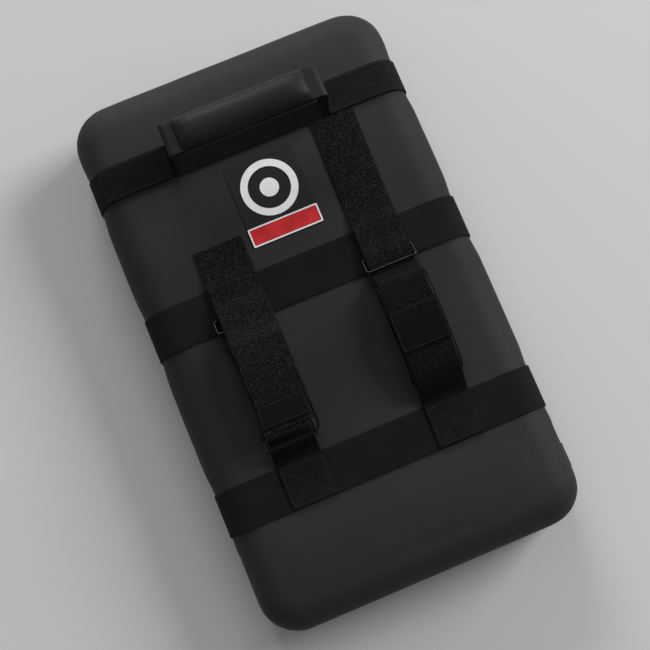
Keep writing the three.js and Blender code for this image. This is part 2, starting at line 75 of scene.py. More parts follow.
COVERS = ("rear_cover", "side_gusset", "front_cover")
PAD_LOW, PAD_HIGH = box(*COVERS)
HALF_WIDTH, HALF_LENGTH = (PAD_HIGH[:2] - PAD_LOW[:2]) / 2
REAR_Z = PAD_HIGH[2]
CORNER_RADIUS = 42 * MM
REAR_EDGE = 32 * MM
FRONT_EDGE = 14 * MM
FRONT_SEAM = (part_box("front_cover")[1].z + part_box("side_gusset")[0].z) / 2
REAR_SEAM = (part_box("side_gusset")[1].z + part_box("rear_cover")[0].z) / 2
SIDE_BULGE = 1.6 * MM
SKIN = 1.6 * MM
WEBBING = 1.5 * MM
STRAP = 1.8 * MM


def middle(name, axis):
    low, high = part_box(name)
    return (low[axis] + high[axis]) / 2


def extent(name, axis):
    low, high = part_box(name)
    return high[axis] - low[axis]


BANDS = {name: (middle(name, 1), extent(name, 1)) for name in ("top_band", "middle_band", "bottom_band")}
BOTTOM_BAND_EDGE = BANDS["bottom_band"][0] + BANDS["bottom_band"][1] / 2


# ---- numbers --------------------------------------------------------------------------------

def smoothstep(low, high, value):
    share = np.clip((value - low) / (high - low), 0, 1)
    return share * share * (3 - 2 * share)


def unit(vectors):
    return vectors / np.linalg.norm(vectors, axis=-1, keepdims=True)


def lengths(points):
    """Distance along a polyline at each of its points."""
    steps = np.linalg.norm(np.diff(points, axis=0), axis=1)
    return np.concatenate([[0], np.cumsum(steps)])


def at_distance(wanted, along, values):
    """Values that belong to points at distances along a line, read at the wanted distances."""
    return np.stack([np.interp(wanted, along, column) for column in values.T], axis=-1)


def resampled(points, spacing):
    """The polyline with evenly spaced points."""
    points = np.asarray(points, float)
    along = lengths(points)
    count = max(int(round(along[-1] / spacing)) + 1, 3)
    return at_distance(np.linspace(0, along[-1], count), along, points)


def resampled_loop(points, spacing):
    """A closed line with evenly spaced points, the first of them given once."""
    return resampled(np.concatenate([points, points[:1]]), spacing)[:-1]


def smoothed(values, width):
    """A running mean over about width samples that keeps both ends in place."""
    values = np.asarray(values, float)
    before, after = values[width:0:-1], values[-2:-width - 2:-1]
    padded = np.concatenate([2 * values[0] - before, values, 2 * values[-1] - after])
    kernel = np.hanning(2 * width + 1)
    return np.stack([np.convolve(column, kernel / kernel.sum(), "valid") for column in padded.T], axis=1)


def ripple(points, scale, seed=0.0):
    """Smooth noise from -1 to 1 at points, with features about scale across."""
    shift = Vector((seed * 7.3, seed * 3.1, seed * 5.7))
    return np.array([noise.noise(Vector(p) / scale + shift) for p in points])


def arc(centre, radius, start, stop, steps=12):
    """Points of an arc in a plane, from one angle to another, in degrees."""
    angles = np.radians(np.linspace(start, stop, steps + 1))
    return np.stack([centre[0] + radius * np.cos(angles), centre[1] + radius * np.sin(angles)], axis=1)


# ---- meshes ---------------------------------------------------------------------------------

def linked(name, data):
    obj = bpy.data.objects.new(name, data)
    scene.collection.objects.link(obj)
    return obj


def shade_smooth(mesh, smooth=True):
    mesh.polygons.foreach_set("use_smooth", [smooth] * len(mesh.polygons))


def add_object(name, verts, faces, uvs=None):
    mesh = bpy.data.meshes.new(name)
    mesh.from_pydata(np.asarray(verts).tolist(), [], [list(map(int, f)) for f in faces])
    shade_smooth(mesh)
    if uvs is not None:
        layer = mesh.uv_layers.new(name="UVMap")
        loops = np.zeros(len(mesh.loops), int)
        mesh.loops.foreach_get("vertex_index", loops)
        layer.data.foreach_set("uv", np.asarray(uvs, np.float32)[loops].ravel())
    return linked(name, mesh)


def copied(node, name):
    """A new object with a CAD node's mesh and no material."""
    obj = linked(name, nodes[node].data.copy())
    obj.data.materials.clear()
    return obj


def apply_modifiers(obj):
    bpy.context.view_layer.update()
    evaluated = obj.evaluated_get(bpy.context.evaluated_depsgraph_get())
    mesh = bpy.data.meshes.new_from_object(evaluated)
    obj.modifiers.clear()
    obj.data = mesh
    return obj


def modified(obj, kind, **settings):
    """The object with one modifier set and applied."""
    modifier = obj.modifiers.new(kind.lower(), kind)
    for key, value in settings.items():
        setattr(modifier, key, value)
    return apply_modifiers(obj)


def remesh(obj, voxel):
    return modified(obj, "REMESH", mode="VOXEL", voxel_size=voxel, use_smooth_shade=True)


def subdivide(obj):
    return modified(obj, "SUBSURF", levels=1, render_levels=1)


def coordinates(obj, what="co"):
    values = np.zeros(len(obj.data.vertices) * 3)
    obj.data.vertices.foreach_get(what, values)
    return values.reshape(-1, 3)


def set_coordinates(obj, co):
    obj.data.vertices.foreach_set("co", np.asarray(co, float).ravel())
    obj.data.update()


def normals_of(obj):
    return coordinates(obj, "normal")


def join_parts(parts):
    """Several (verts, faces) as one."""
    verts, faces, start = [], [], 0
    for part_verts, part_faces in parts:
        verts.append(part_verts)
        faces += [tuple(i + start for i in face) for face in part_faces]
        start += len(part_verts)
    return np.concatenate(verts), faces


def ring_faces(rings, count, closed=False):
    """Quads between rings of count points each."""
    faces = []
    for i in range(rings if closed else rings - 1):
        first, second = i * count, ((i + 1) % rings) * count
        for j in range(count):
            k = (j + 1) % count
            faces.append((first + j, first + k, second + k, second + j))
    return faces


def capped_faces(rings, count):
    """Quads between rings of count points each, and a face over both ends."""
    last = (rings - 1) * count
    return ring_faces(rings, count) + [tuple(range(count))[::-1], tuple(range(last, last + count))]


def tube(points, radius, sides=8, closed=False):
    """A round tube along points, as (verts, faces)."""
    points = np.asarray(points, float)
    if closed:
        tangents = unit(np.roll(points, -1, axis=0) - np.roll(points, 1, axis=0))
    else:
        tangents = unit(np.gradient(points, axis=0))
    side = np.cross(tangents[0], UP if abs(tangents[0][2]) < 0.9 else ALONG_X)
    angles = np.arange(sides) * 2 * math.pi / sides
    rings = []
    for point, tangent in zip(points, tangents):
        side = unit(side - tangent * np.dot(side, tangent))
        other = np.cross(tangent, side)
        rings.append(point + radius * (np.cos(angles)[:, None] * side + np.sin(angles)[:, None] * other))
    faces = ring_faces(len(points), sides, True) if closed else capped_faces(len(points), sides)
    return np.concatenate(rings), faces


def path_frames(path, across):
    """Unit normals of a path that runs square to the fixed direction across."""
    return unit(np.cross(unit(np.gradient(path, axis=0)), across))


def strap_mesh(path, across, width, thickness, columns=18, flip=False, lift=None):
    """A flat strap with rounded edges along path, as (verts, faces, uvs).

    width may vary along the path. lift(u, v) is a height added to the outer face, u along and v across.
    """
    path = np.asarray(path, float)
    normals = path_frames(path, across) * (-1 if flip else 1)
    half = np.broadcast_to(np.asarray(width) / 2, len(path))
    edge = thickness / 2
    u = lengths(path)
    shares = np.linspace(-1, 1, columns)
    bend = np.radians([60, 20, -20, -60])
    profile = [(s, 0.0, 1.0) for s in shares]
    profile += [(1, edge * math.cos(a), math.sin(a)) for a in bend]
    profile += [(s, 0.0, -1.0) for s in shares[::-1]]
    profile += [(-1, -edge * math.cos(a), -math.sin(a)) for a in bend]
    verts, uvs = [], []
    for share, out, height in profile:
        v = share * (half - edge) + out
        h = np.full(len(path), height * edge)
        if lift is not None and height > 0:
            h = h + lift(u, v)
        verts.append(path + v[:, None] * across + h[:, None] * normals)
        uvs.append(np.stack([u, v], axis=1))
    verts = np.stack(verts, axis=1).reshape(-1, 3)
    uvs = np.stack(uvs, axis=1).reshape(-1, 2)
    count = len(profile)
    faces = ring_faces(len(path), count)
    for start in (0, (len(path) - 1) * count):
        order = 1 if start == 0 else -1
        for j in range(columns - 1):
            a, b = start + j, start + j + 1
            c = start + 2 * columns + 3 - j
            faces.append((a, b, c - 1, c) if start == 0 else (a, c, c - 1, b))
        right = [start + columns - 1 + i for i in range(6)]
        left = [start + 2 * columns + 3 + i for i in range(5)] + [start]
        faces += [tuple(right[::order]), tuple(left[::order])]
    if flip:
        faces = [face[::-1] for face in faces]
    return verts, faces, uvs


def fix_normals(obj):
    """Turns all faces outwards."""
    mesh = bmesh.new()
    mesh.from_mesh(obj.data)
    bmesh.ops.recalc_face_normals(mesh, faces=mesh.faces)
    mesh.to_mesh(obj.data)
    mesh.free()
    return obj


def add_strap(name, *path_and_sizes, place=None, **options):
    """A strap_mesh as an object, its points moved by place."""
    verts, faces, uvs = strap_mesh(*path_and_sizes, **options)
    return fix_normals(add_object(name, verts if place is None else place(verts), faces, uvs))


def surface_of(*objects):
    """A ray-casting tree over several objects."""
    verts, faces = join_parts([
        (coordinates(o), [tuple(p.vertices) for p in o.data.polygons]) for o in objects
    ])
    return BVHTree.FromPolygons([Vector(v) for v in verts], faces)


def dropped(points, tree):
    """Plan points (x, y) dropped on to a surface: their places and the surface's normals."""
    places, normals = [], []
    for x, y in points:
        place, normal, _, _ = tree.ray_cast(Vector((x, y, 1)), Vector((0, 0, -1)))
        if place is None:
            continue
        places.append(place)
        normals.append(normal if normal.z > 0 else -normal)
    return np.array(places), np.array(normals)


def laid(rows, tree, spacing=2 * MM):
    """Lines of plan points laid on a surface, as (points, normals)."""
    return [dropped(resampled(row, spacing), tree) for row in rows]


# ---- materials ------------------------------------------------------------------------------

class Finish:
    """A material with a Principled shader, and short calls for the nodes that feed it."""

    def __init__(self, name, colour, roughness, metallic=0.0, **sockets):
        self.material = bpy.data.materials.new(name)
        self.material.use_nodes = True
        self.tree = self.material.node_tree
        self.shader = self.tree.nodes["Principled BSDF"]
        self.set("Base Color", (*colour, 1))
        self.set("Roughness", roughness)
        self.set("Metallic", metallic)
        for socket, value in sockets.items():
            self.set(socket.replace("_", " "), value)
        self.coords = {}

    def set(self, socket, value):
        self.shader.inputs[socket].default_value = value

    def node(self, kind, inputs=None, **settings):
        made = self.tree.nodes.new(kind)
        for key, value in settings.items():
            setattr(made, key, value)
        for key, value in (inputs or {}).items():
            self.feed(made.inputs[key], value)
        return made

    def feed(self, socket, value):
        if isinstance(value, bpy.types.NodeSocket):
            self.tree.links.new(value, socket)
        else:
            socket.default_value = value

    def place(self, which="Object"):
        if which not in self.coords:
            self.coords[which] = self.node("ShaderNodeTexCoord").outputs[which]
        return self.coords[which]

    def noise(self, scale, detail=2.0, which="Object", stretch=None):
        vector = self.place(which)
        if stretch is not None:
            vector = self.node("ShaderNodeMapping", {"Vector": vector, "Scale": stretch}).outputs[0]
        inputs = {"Vector": vector, "Scale": scale, "Detail": detail}
        return self.node("ShaderNodeTexNoise", inputs).outputs["Fac"]

    def cells(self, scale, feature="F1", which="Object"):
        inputs = {"Vector": self.place(which), "Scale": scale}
        return self.node("ShaderNodeTexVoronoi", inputs, feature=feature).outputs["Distance"]

    def math(self, operation, a, b=0.0, c=0.0):
        return self.node("ShaderNodeMath", {0: a, 1: b, 2: c}, operation=operation).outputs[0]

    def mapped(self, value, low, high, to_low=0.0, to_high=1.0):
        inputs = {"Value": value, "From Min": low, "From Max": high, "To Min": to_low, "To Max": to_high}
        return self.node("ShaderNodeMapRange", inputs).outputs[0]

    def axis(self, which, index):
        split = self.node("ShaderNodeSeparateXYZ", {0: self.place(which)})
        return split.outputs[index]

    def wave(self, value, pitch, phase=0.0):
        """A sine of value that repeats every pitch."""
        return self.math("SINE", self.math("MULTIPLY_ADD", value, 2 * math.pi / pitch, phase))

    def colour_between(self, factor, dark, light):
        """A mix of two colours, each a tuple or another node's output."""
        factor_socket, dark_socket, light_socket = 0, 6, 7
        made = self.node("ShaderNodeMix", data_type="RGBA")
        for index, value in ((factor_socket, factor), (dark_socket, dark), (light_socket, light)):
            self.feed(made.inputs[index], (*value, 1) if isinstance(value, tuple) else value)
        return made.outputs[2]

    def paint(self, colour):
        self.feed(self.shader.inputs["Base Color"], colour)

    def rough(self, value):
        self.feed(self.shader.inputs["Roughness"], value)

    def bumps(self, *layers):
        """Chains (height, distance in metres, strength) layers into the shader's normal."""
        normal = None
        for height, distance, strength in layers:
            inputs = {"Height": height, "Distance": distance, "Strength": strength}
            made = self.node("ShaderNodeBump", inputs)
            if normal is not None:
                self.feed(made.inputs["Normal"], normal)
            normal = made.outputs[0]
        self.feed(self.shader.inputs["Normal"], normal)


def grey(value, tint=(1.0, 1.0, 1.0)):
    """A linear colour for an sRGB level from 0 to 255."""
    linear = ((value / 255 + 0.055) / 1.055) ** 2.4
    return tuple(linear * t for t in tint)


def leather(name, level, tint=(1, 1, 1), ends=False, roughness=0.5):
    """Matte coated leatherette: pebble grain, faint creases and tone that drifts; with ends, the top end is
    painted lighter as painted light from above and tinted purple, and the foot end is darker and tinted warm.
    """
    made = Finish(name, grey(level), roughness, Specular_IOR_Level=0.22)
    drift = made.noise(7, 3)
    dark, light = grey(level - 4, tint), grey(level + 4, tint)
    colour = made.colour_between(made.mapped(drift, 0.3, 0.7), dark, light)
    if ends:
        y = made.axis("Object", 1)
        top = made.mapped(y, BANDS["top_band"][0] - 2 * MM, BANDS["top_band"][0] + 2 * MM)
        foot = made.mapped(y, BANDS["bottom_band"][0] + 2 * MM, BANDS["bottom_band"][0] - 2 * MM)
        # Painted light: the top end's colour is painted lighter, as light from above, and tinted purple; the
        # foot's colour is darker and tinted warm.
        for share, base, end_tint in ((top, level + 2, (1.12, 1, 1.17)), (foot, level - 3, (1.12, 1, 1.05))):
            end_colour_with_painted_top_light = made.colour_between(drift, grey(base, end_tint), grey(base + 7, end_tint))
            colour = made.colour_between(share, colour, end_colour_with_painted_top_light)
    made.paint(colour)
    grain = made.cells(820, "SMOOTH_F1")
    pores = made.noise(2600, 1)
    creases = made.noise(85, 5)
    made.rough(made.mapped(made.math("ADD", grain, drift), 0.4, 1.3, roughness + 0.08, roughness - 0.07))
    made.bumps((creases, 0.5 * MM, 0.25), (grain, 0.35 * MM, 0.3), (pores, 0.12 * MM, 0.2))
    return made.material


def webbing(name, level, rib=1.25 * MM, pick=0.8 * MM):
    """Woven polyester tape: ribs along its length, picks across, single threads lighter and darker, and
    painted shade that darkens the grooves between ribs and picks.
    """
    made = Finish(name, grey(level), 0.85, Specular_IOR_Level=0.09, Sheen_Weight=0.01, Sheen_Roughness=0.5)
    u, v = made.axis("UV", 0), made.axis("UV", 1)
    ribs = made.wave(v, rib)
    phase = made.math("MULTIPLY", made.math("SIGN", ribs), math.pi / 2)
    picks = made.wave(u, pick, phase)
    height = made.math("MULTIPLY_ADD", picks, 0.5, made.math("ABSOLUTE", ribs))
    threads = made.noise(1, 2, "UV", (60, 1600, 1))
    wear = made.noise(25, 3)
    # Painted shade: the weave's grooves are painted darker than its crowns; the thread and wear noise is the
    # tape's own tone.
    tone = made.math("ADD", made.mapped(height, -0.5, 1.5, 0, 0.6), made.mapped(threads, 0.3, 0.7, 0, 0.4))
    tone = made.math("MULTIPLY", tone, made.mapped(wear, 0.3, 0.7, 0.75, 1.15))
    made.paint(made.colour_between(tone, grey(max(level - 9, 3)), grey(level + 8)))
    made.bumps((made.noise(160, 3), 0.3 * MM, 0.25), (height, 0.22 * MM, 0.5))
    return made.material


def loop_pile(name, level, light):
    """Brushed loop tape: a mat of tiny curls with bright flecks where they catch the light."""
    made = Finish(name, grey(level), 0.9, Specular_IOR_Level=0.07, Sheen_Weight=0.02, Sheen_Roughness=0.6)
    curls = made.noise(1050, 3)
    clumps = made.noise(300, 2)
    fleck = made.math("MULTIPLY", made.mapped(curls, 0.5, 0.72), made.mapped(clumps, 0.25, 0.65, 0.35, 1))
    made.paint(made.colour_between(fleck, grey(max(level - 8, 4)), grey(light)))
    made.bumps((clumps, 0.8 * MM, 0.35), (curls, 0.9 * MM, 0.8))
    return made.material


def hook_tape(name, level):
    """Moulded hook tape: close rows of tiny stems on a flat strip, the stem tops painted lighter and the gaps
    between them painted darker, as painted light and shade.
    """
    made = Finish(name, grey(level), 0.6, Specular_IOR_Level=0.1)
    u, v = made.axis("UV", 0), made.axis("UV", 1)
    stems = made.math("MULTIPLY", made.wave(u, 1.6 * MM), made.wave(v, 1.3 * MM))
    # Painted light and shade: colour follows the stems, lighter on their tops and darker between them.
    made.paint(made.colour_between(made.mapped(stems, 0.2, 1), grey(max(level - 8, 2)), grey(level + 7)))
    made.bumps((stems, 0.4 * MM, 0.6), (made.noise(400, 2), 0.1 * MM, 0.3))
    return made.material


def wire_metal(name, level, roughness):
    """Plated wire, with fine drawn scratches and a few dull patches."""
    made = Finish(name, grey(level), roughness, 1.0)
    scratches = made.noise(1, 3, "Object", (300, 2600, 2600))
    dull = made.noise(60, 3)
    made.paint(made.colour_between(dull, grey(level - 22), grey(level + 12)))
    made.rough(made.mapped(dull, 0.3, 0.7, roughness - 0.06, roughness + 0.14))
    made.bumps((scratches, 0.05 * MM, 0.25))
    return made.material


def thread(name, level):
    """Twisted sewing thread."""
    made = Finish(name, grey(level), 0.6, Specular_IOR_Level=0.35, Sheen_Weight=0.1)
    twist = made.noise(2400, 1)
    made.paint(made.colour_between(twist, grey(level - 10), grey(level + 10)))
    made.bumps((twist, 0.15 * MM, 0.6))
    return made.material


def foam(name, colour, scale):
    """Foam with open cells cut through its skin, painted darker in the cell hollows as painted shade."""
    made = Finish(name, colour, 0.95, Specular_IOR_Level=0.2)
    holes = made.cells(scale)
    shade = made.noise(12, 3)
    dark = tuple(c * 0.72 for c in colour)
    # Painted shade: the cell hollows are painted darker; the noise makes that darkening uneven.
    made.paint(made.colour_between(made.math("MULTIPLY", made.mapped(holes, 0.05, 0.5), shade), dark, colour))
    made.bumps((holes, 1.2 * MM, 0.6), (made.noise(scale * 3, 2), 0.4 * MM, 0.4))
    return made.material


def printed(name, colour, shade, roughness=0.5):
    """Ink pressed into woven satin: fine threads show through, with a slight unevenness."""
    made = Finish(name, colour, roughness, Specular_IOR_Level=0.4)
    x, y = made.axis("Object", 0), made.axis("Object", 1)
    weave = made.math("MULTIPLY", made.wave(x, 0.7 * MM), made.wave(y, 0.7 * MM))
    cover = made.mapped(made.noise(55, 5), 0.3, 0.7)
    made.paint(made.colour_between(cover, shade, colour))
    made.bumps((weave, 0.08 * MM, 0.3), (made.noise(700, 2), 0.1 * MM, 0.2))
    return made.material


COVER = leather("leatherette", 38, ends=True, roughness=0.68)
# Painted shade: the grip's leatherette is a darker copy of the cover's, standing in for the shade on the
# handle.
GRIP_LEATHER_PAINTED_SHADE = leather("grip_leatherette_painted_shade", 23, (1.04, 1, 1.04), roughness=0.56)
PANEL_CLOTH = loop_pile("panel_cloth", 14, 36)
PAD_LEATHER = leather("arm_pad_leatherette", 18, roughness=0.6)
BAND = webbing("band_webbing", 23)
# Painted shade: the handle's webbing is darker than the bands', standing in for the shade under the handle.
HANDLE_TAPE_PAINTED_SHADE = webbing("handle_webbing", 13)
STRAP_TAPE = webbing("strap_webbing", 11, 1.6 * MM)
PILE = loop_pile("loop_pile", 13, 66)
STRAP_PILE = loop_pile("strap_pile", 12, 46)
FOLD_PILE = loop_pile("fold_pile", 24, 80)
SELVEDGE = webbing("selvedge", 22, 0.9 * MM)
HOOKS = hook_tape("hook_tape", 5)
WIRE = wire_metal("steel_wire", 44, 0.3)
ZIP_METAL = wire_metal("zipper_metal", 95, 0.36)
THREAD = thread("thread", 25)
THREAD_DARK = thread("thread_dark", 19)
COIL = thread("zipper_coil_nylon", 28)
BADGE_BLACK = printed("badge_black", grey(20), grey(15), 0.75)
BADGE_WHITE = printed("badge_white", grey(252), grey(244), 0.5)
BADGE_RED = printed("badge_red", (0.70, 0.022, 0.028), (0.48, 0.010, 0.014), 0.45)
EVA = foam("eva_foam", grey(112), 900)
CORE = foam("core_foam", (0.68, 0.62, 0.52), 520)


def finish_piece(obj, body, material, replaced=(), others=()):
    """Gives a new piece its material, the CAD nodes it stands for and its body."""
    for each in (material, *others):
        obj.data.materials.append(each)
    if replaced:
        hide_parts(*replaced)
    if body is not None:
        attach(obj, body)
    return obj


# ---- camera, floor and light ----------------------------------------------------------------

def add_camera():
    target = Vector((-0.0046, -0.0184, REAR_Z))
    towards = Vector((-0.0610, -0.1409, 0.9881)).normalized()
    distance = 1.322
    roll = math.radians(22.92)
    right = (-towards).cross(Vector((0, 1, 0))).normalized()
    up = right.cross(-towards)
    image_up = up * math.cos(roll) + right * math.sin(roll)
    image_right = (-towards).cross(image_up)
    data = bpy.data.cameras.new("camera")
    data.sensor_width = 36
    data.lens = 68.98
    camera = linked("camera", data)
    axes = Matrix((image_right, image_up, towards)).transposed().to_4x4()
    camera.matrix_world = Matrix.Translation(target + towards * distance) @ axes
    scene.camera = camera


def add_light(name, place, size, power):
    data = bpy.data.lights.new(name, "AREA")
    data.shape = "RECTANGLE"
    data.size, data.size_y = size
    data.energy = power
    light = linked(name, data)
    light.location = place
    aim = Vector((0, 0, 0.1))
    light.rotation_euler = (aim - Vector(place)).to_track_quat("-Z", "Y").to_euler()


def add_studio():
    half, z = 60.0, PAD_LOW[2] - 0.5 * MM
    corners = [(-half, -half, z), (half, -half, z), (half, half, z), (-half, half, z)]
    floor = add_object("floor", corners, [(0, 1, 2, 3)])
    made = Finish("floor", (0.64, 0.64, 0.64), 0.9, Specular_IOR_Level=0.1)
    made.paint(made.colour_between(made.noise(3, 2), (0.635,) * 3, (0.645,) * 3))
    floor.data.materials.append(made.material)
    world = bpy.data.worlds.new("studio")
    world.use_nodes = True
    background = world.node_tree.nodes["Background"]
    background.inputs["Color"].default_value = (1, 1, 1, 1)
    background.inputs["Strength"].default_value = 0.25
    scene.world = world
    add_light("key", (4.6, 1.0, 3.2), (2.4, 2.4), 222)
    add_light("back", (0.3, 5.0, 2.7), (2.4, 1.8), 150)
    scene.view_settings.view_transform = "Standard"


# ---- pad cover ------------------------------------------------------------------------------

def outline(inset, spacing=4 * MM):
    """Evenly spaced points of the pad's plan outline, moved inwards, and their outward normals."""
    radius = CORNER_RADIUS - inset
    x, y = HALF_WIDTH - inset - radius, HALF_LENGTH - inset - radius
    corners = [((x, -y), -90), ((x, y), 0), ((-x, y), 90), ((-x, -y), 180)]
    points = np.concatenate([arc(centre, radius, start, start + 90, 24) for centre, start in corners])
    points = resampled_loop(points, spacing)
    ahead = np.roll(points, -1, axis=0) - np.roll(points, 1, axis=0)
    normals = unit(np.stack([ahead[:, 1], -ahead[:, 0]], axis=1))
    return points, normals


def level_outline(inset, z, spacing=4 * MM):
    points, normals = outline(inset, spacing)
    heights = np.full((len(points), 1), z)
    return np.hstack([points, heights]), np.hstack([normals, np.zeros_like(heights)])


def section_path(offset):
    """The pad's cross-section from one front seam over the rear face to the other, moved outwards."""
    flank = HALF_WIDTH + offset
    centre = HALF_WIDTH - REAR_EDGE
    left = arc((-centre, REAR_Z - REAR_EDGE), REAR_EDGE + offset, 180, 90, 16)
    right = arc((centre, REAR_Z - REAR_EDGE), REAR_EDGE + offset, 90, 0, 16)
    return resampled(np.concatenate([[(-flank, FRONT_SEAM)], left, right, [(flank, FRONT_SEAM)]]), 3 * MM)


def in_bands(y, spare):
    """1 inside a band's width and a little past it, 0 elsewhere."""
    held = np.zeros(len(y))
    for centre, width in BANDS.values():
        edge = width / 2 + spare
        held = np.maximum(held, 1 - smoothstep(edge, edge + 3 * MM, abs(y - centre)))
    return held


def rounded_block():
    """The pad's closed outer shape, with fine rounded edges."""
    turns = np.radians(np.linspace(0, 90, 9))
    levels = [(FRONT_EDGE * (1 - math.sin(t)), FRONT_EDGE * (1 - math.cos(t))) for t in turns]
    levels += [(REAR_EDGE * (1 - math.cos(t)), REAR_Z - REAR_EDGE * (1 - math.sin(t))) for t in turns]
    count = len(outline(0)[0])
    rings = []
    for inset, z in levels:
        points = outline(inset)[0]
        closed = np.concatenate([points, points[:1]])
        along = lengths(closed)
        ring = at_distance(np.linspace(0, along[-1], count, endpoint=False), along, closed)
        rings.append(np.hstack([ring, np.full((count, 1), z)]))
    return np.concatenate(rings), capped_faces(len(rings), count)


def inflate(obj, held, pressure, cap, frames=20):
    """Blows a closed mesh up as cloth. held is 1 where it is pinned, and no point moves more than cap."""
    start = coordinates(obj)
    pins = obj.vertex_groups.new(name="held")
    for level in np.linspace(0.1, 1, 10):
        chosen = np.flatnonzero(np.isclose(np.round(held, 1), level))
        if len(chosen):
            pins.add(chosen.tolist(), float(level), "REPLACE")
    modifier = obj.modifiers.new("cloth", "CLOTH")
    settings = modifier.settings
    settings.use_pressure = True
    settings.uniform_pressure_force = pressure
    settings.effector_weights.gravity = 0
    settings.vertex_group_mass = "held"
    settings.quality = 4
    modifier.collision_settings.use_collision = False
    modifier.point_cache.frame_start = 1
    modifier.point_cache.frame_end = frames
    for number in range(1, frames + 1):
        scene.frame_set(number)
    apply_modifiers(obj)
    scene.frame_set(1)
    moved = coordinates(obj) - start
    size = np.linalg.norm(moved, axis=1, keepdims=True)
    moved *= np.minimum(1, cap / np.maximum(size, 1e-9))
    set_coordinates(obj, start + moved)
    obj.vertex_groups.clear()
    return obj


def free_of_straps(co):
    """1 where nothing lies on the rear face, and 0 under the straps, handle and badge."""
    across = smoothstep(118 * MM, 150 * MM, abs(co[:, 0]))
    top = smoothstep(BANDS["top_band"][0] + 12 * MM, BANDS["top_band"][0] + 40 * MM, co[:, 1])
    foot = smoothstep(BANDS["bottom_band"][0] - 20 * MM, BANDS["bottom_band"][0] - 45 * MM, co[:, 1])
    side = 1 - smoothstep(REAR_Z - 12 * MM, REAR_Z - 4 * MM, co[:, 2])
    return np.clip(across + top + foot + side, 0, 1)


def bisected(source, name, low, high):
    """The part of a mesh between two heights."""
    mesh = bmesh.new()
    mesh.from_mesh(source.data)
    for z, clear_above in ((low, False), (high, True)):
        geometry = mesh.verts[:] + mesh.edges[:] + mesh.faces[:]
        bmesh.ops.bisect_plane(
            mesh, geom=geometry, dist=1e-6, plane_co=(0, 0, z), plane_no=(0, 0, 1),
            clear_outer=clear_above, clear_inner=not clear_above,
        )
    data = bpy.data.meshes.new(name)
    mesh.to_mesh(data)
    mesh.free()
    shade_smooth(data)
    return linked(name, data)


def evened(obj, values, rounds):
    """Values at a mesh's points, each averaged with its neighbours' again and again."""
    ends = np.zeros(2 * len(obj.data.edges), dtype=int)
    obj.data.edges.foreach_get("vertices", ends)
    one, other = ends.reshape(-1, 2).T
    degree = np.maximum(np.bincount(ends, minlength=len(values)), 1)
    for _ in range(rounds):
        total = np.bincount(one, values[other], len(values)) + np.bincount(other, values[one], len(values))
        values = (values + total / degree) / 2
    return values


def clear_of_zipper(co):
    """0 on the walls where the zipper runs, 1 well above it."""
    zipper_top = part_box("zipper_tape")[1].y
    return smoothstep(zipper_top + 2 * MM, zipper_top + 20 * MM, co[:, 1])


def add_cover():
    """The filled cover swells as cloth between its bands, and is then cut at its seams into three skins."""
    verts, faces = rounded_block()
    pad = add_object("pad_shape", verts, faces)
    remesh(pad, 5.5 * MM)
    start = coordinates(pad)
    flat = 1 - smoothstep(2 * MM, 7 * MM, start[:, 2])
    face = smoothstep(REAR_Z - 1.5 * MM, REAR_Z - 0.5 * MM, start[:, 2])
    held = np.maximum(np.maximum(in_bands(start[:, 1], 1 * MM), flat), face * (1 - free_of_straps(start)))
    inflate(pad, held, 4, 5 * MM)
    moved = coordinates(pad) - start
    outwards = np.einsum("ij,ij->i", moved, normals_of(pad))
    share = free_of_straps(start) * (1 - flat)
    on_wall = np.linalg.norm(normals_of(pad)[:, :2], axis=1) * (1 - clear_of_zipper(start))
    limited = evened(pad, np.clip(outwards, 0, 3.2 * MM), 24) * share * (1 - on_wall)
    set_coordinates(pad, start + normals_of(pad) * limited[:, None])
    subdivide(pad)
    co, normals = coordinates(pad), normals_of(pad)
    soft = ripple(co, 55 * MM, 1) * 0.35 * MM * free_of_straps(co) * (1 - in_bands(co[:, 1], 0))
    cinched = np.ones(len(co))
    for centre, width in BANDS.values():
        cinched = np.minimum(cinched, smoothstep(width / 2, width / 2 + 26 * MM, abs(co[:, 1] - centre)))
    above_floor = smoothstep(8 * MM, 26 * MM, co[:, 2])
    soft += SIDE_BULGE * cinched * abs(normals[:, 0]) ** 2 * clear_of_zipper(co) * above_floor
    groove = np.zeros(len(co))
    for seam, depth in ((FRONT_SEAM, 1.2 * MM), (REAR_SEAM, 0.9 * MM)):
        groove -= depth * np.exp(-((co[:, 2] - seam) / (2.6 * MM)) ** 2)
    on_wall = np.linalg.norm(normals[:, :2], axis=1)
    set_coordinates(pad, co + normals * (soft + groove * on_wall * (1 - in_bands(co[:, 1], 0)))[:, None])
    parts = (
        ("cover_front", "front_cover", PAD_LOW[2] - 10 * MM, FRONT_SEAM - 0.2 * MM),
        ("cover_gusset", "side_gusset", FRONT_SEAM + 0.2 * MM, REAR_SEAM - 0.2 * MM),
        ("cover_rear", "rear_cover", REAR_SEAM + 0.2 * MM, REAR_Z + 20 * MM),
    )
    skins = []
    for name, node, low, high in parts:
        skin = modified(bisected(pad, name, low, high), "SOLIDIFY", thickness=SKIN, offset=-1)
        finish_piece(skin, "pad", COVER, (node,))
        skins.append(skin)
    bpy.data.objects.remove(pad)
    return skins


def add_foams():
    sheet = (EVA, "eva_foam")
    finishes = {"front_foam_sheet": sheet, "foam_core": (CORE, "core_foam"), "rear_foam_sheet": sheet}
    for node, (material, slot) in finishes.items():
        block = remesh(copied(node, node.replace("foam", "foam_block")), 7 * MM)
        co = coordinates(block)
        inwards = 0.3 * MM + 0.25 * MM * ripple(co, 30 * MM, 2)
        set_coordinates(block, co - normals_of(block) * inwards[:, None])
        finish_piece(block, "pad", material, (node,))


# ---- stitches and piping --------------------------------------------------------------------

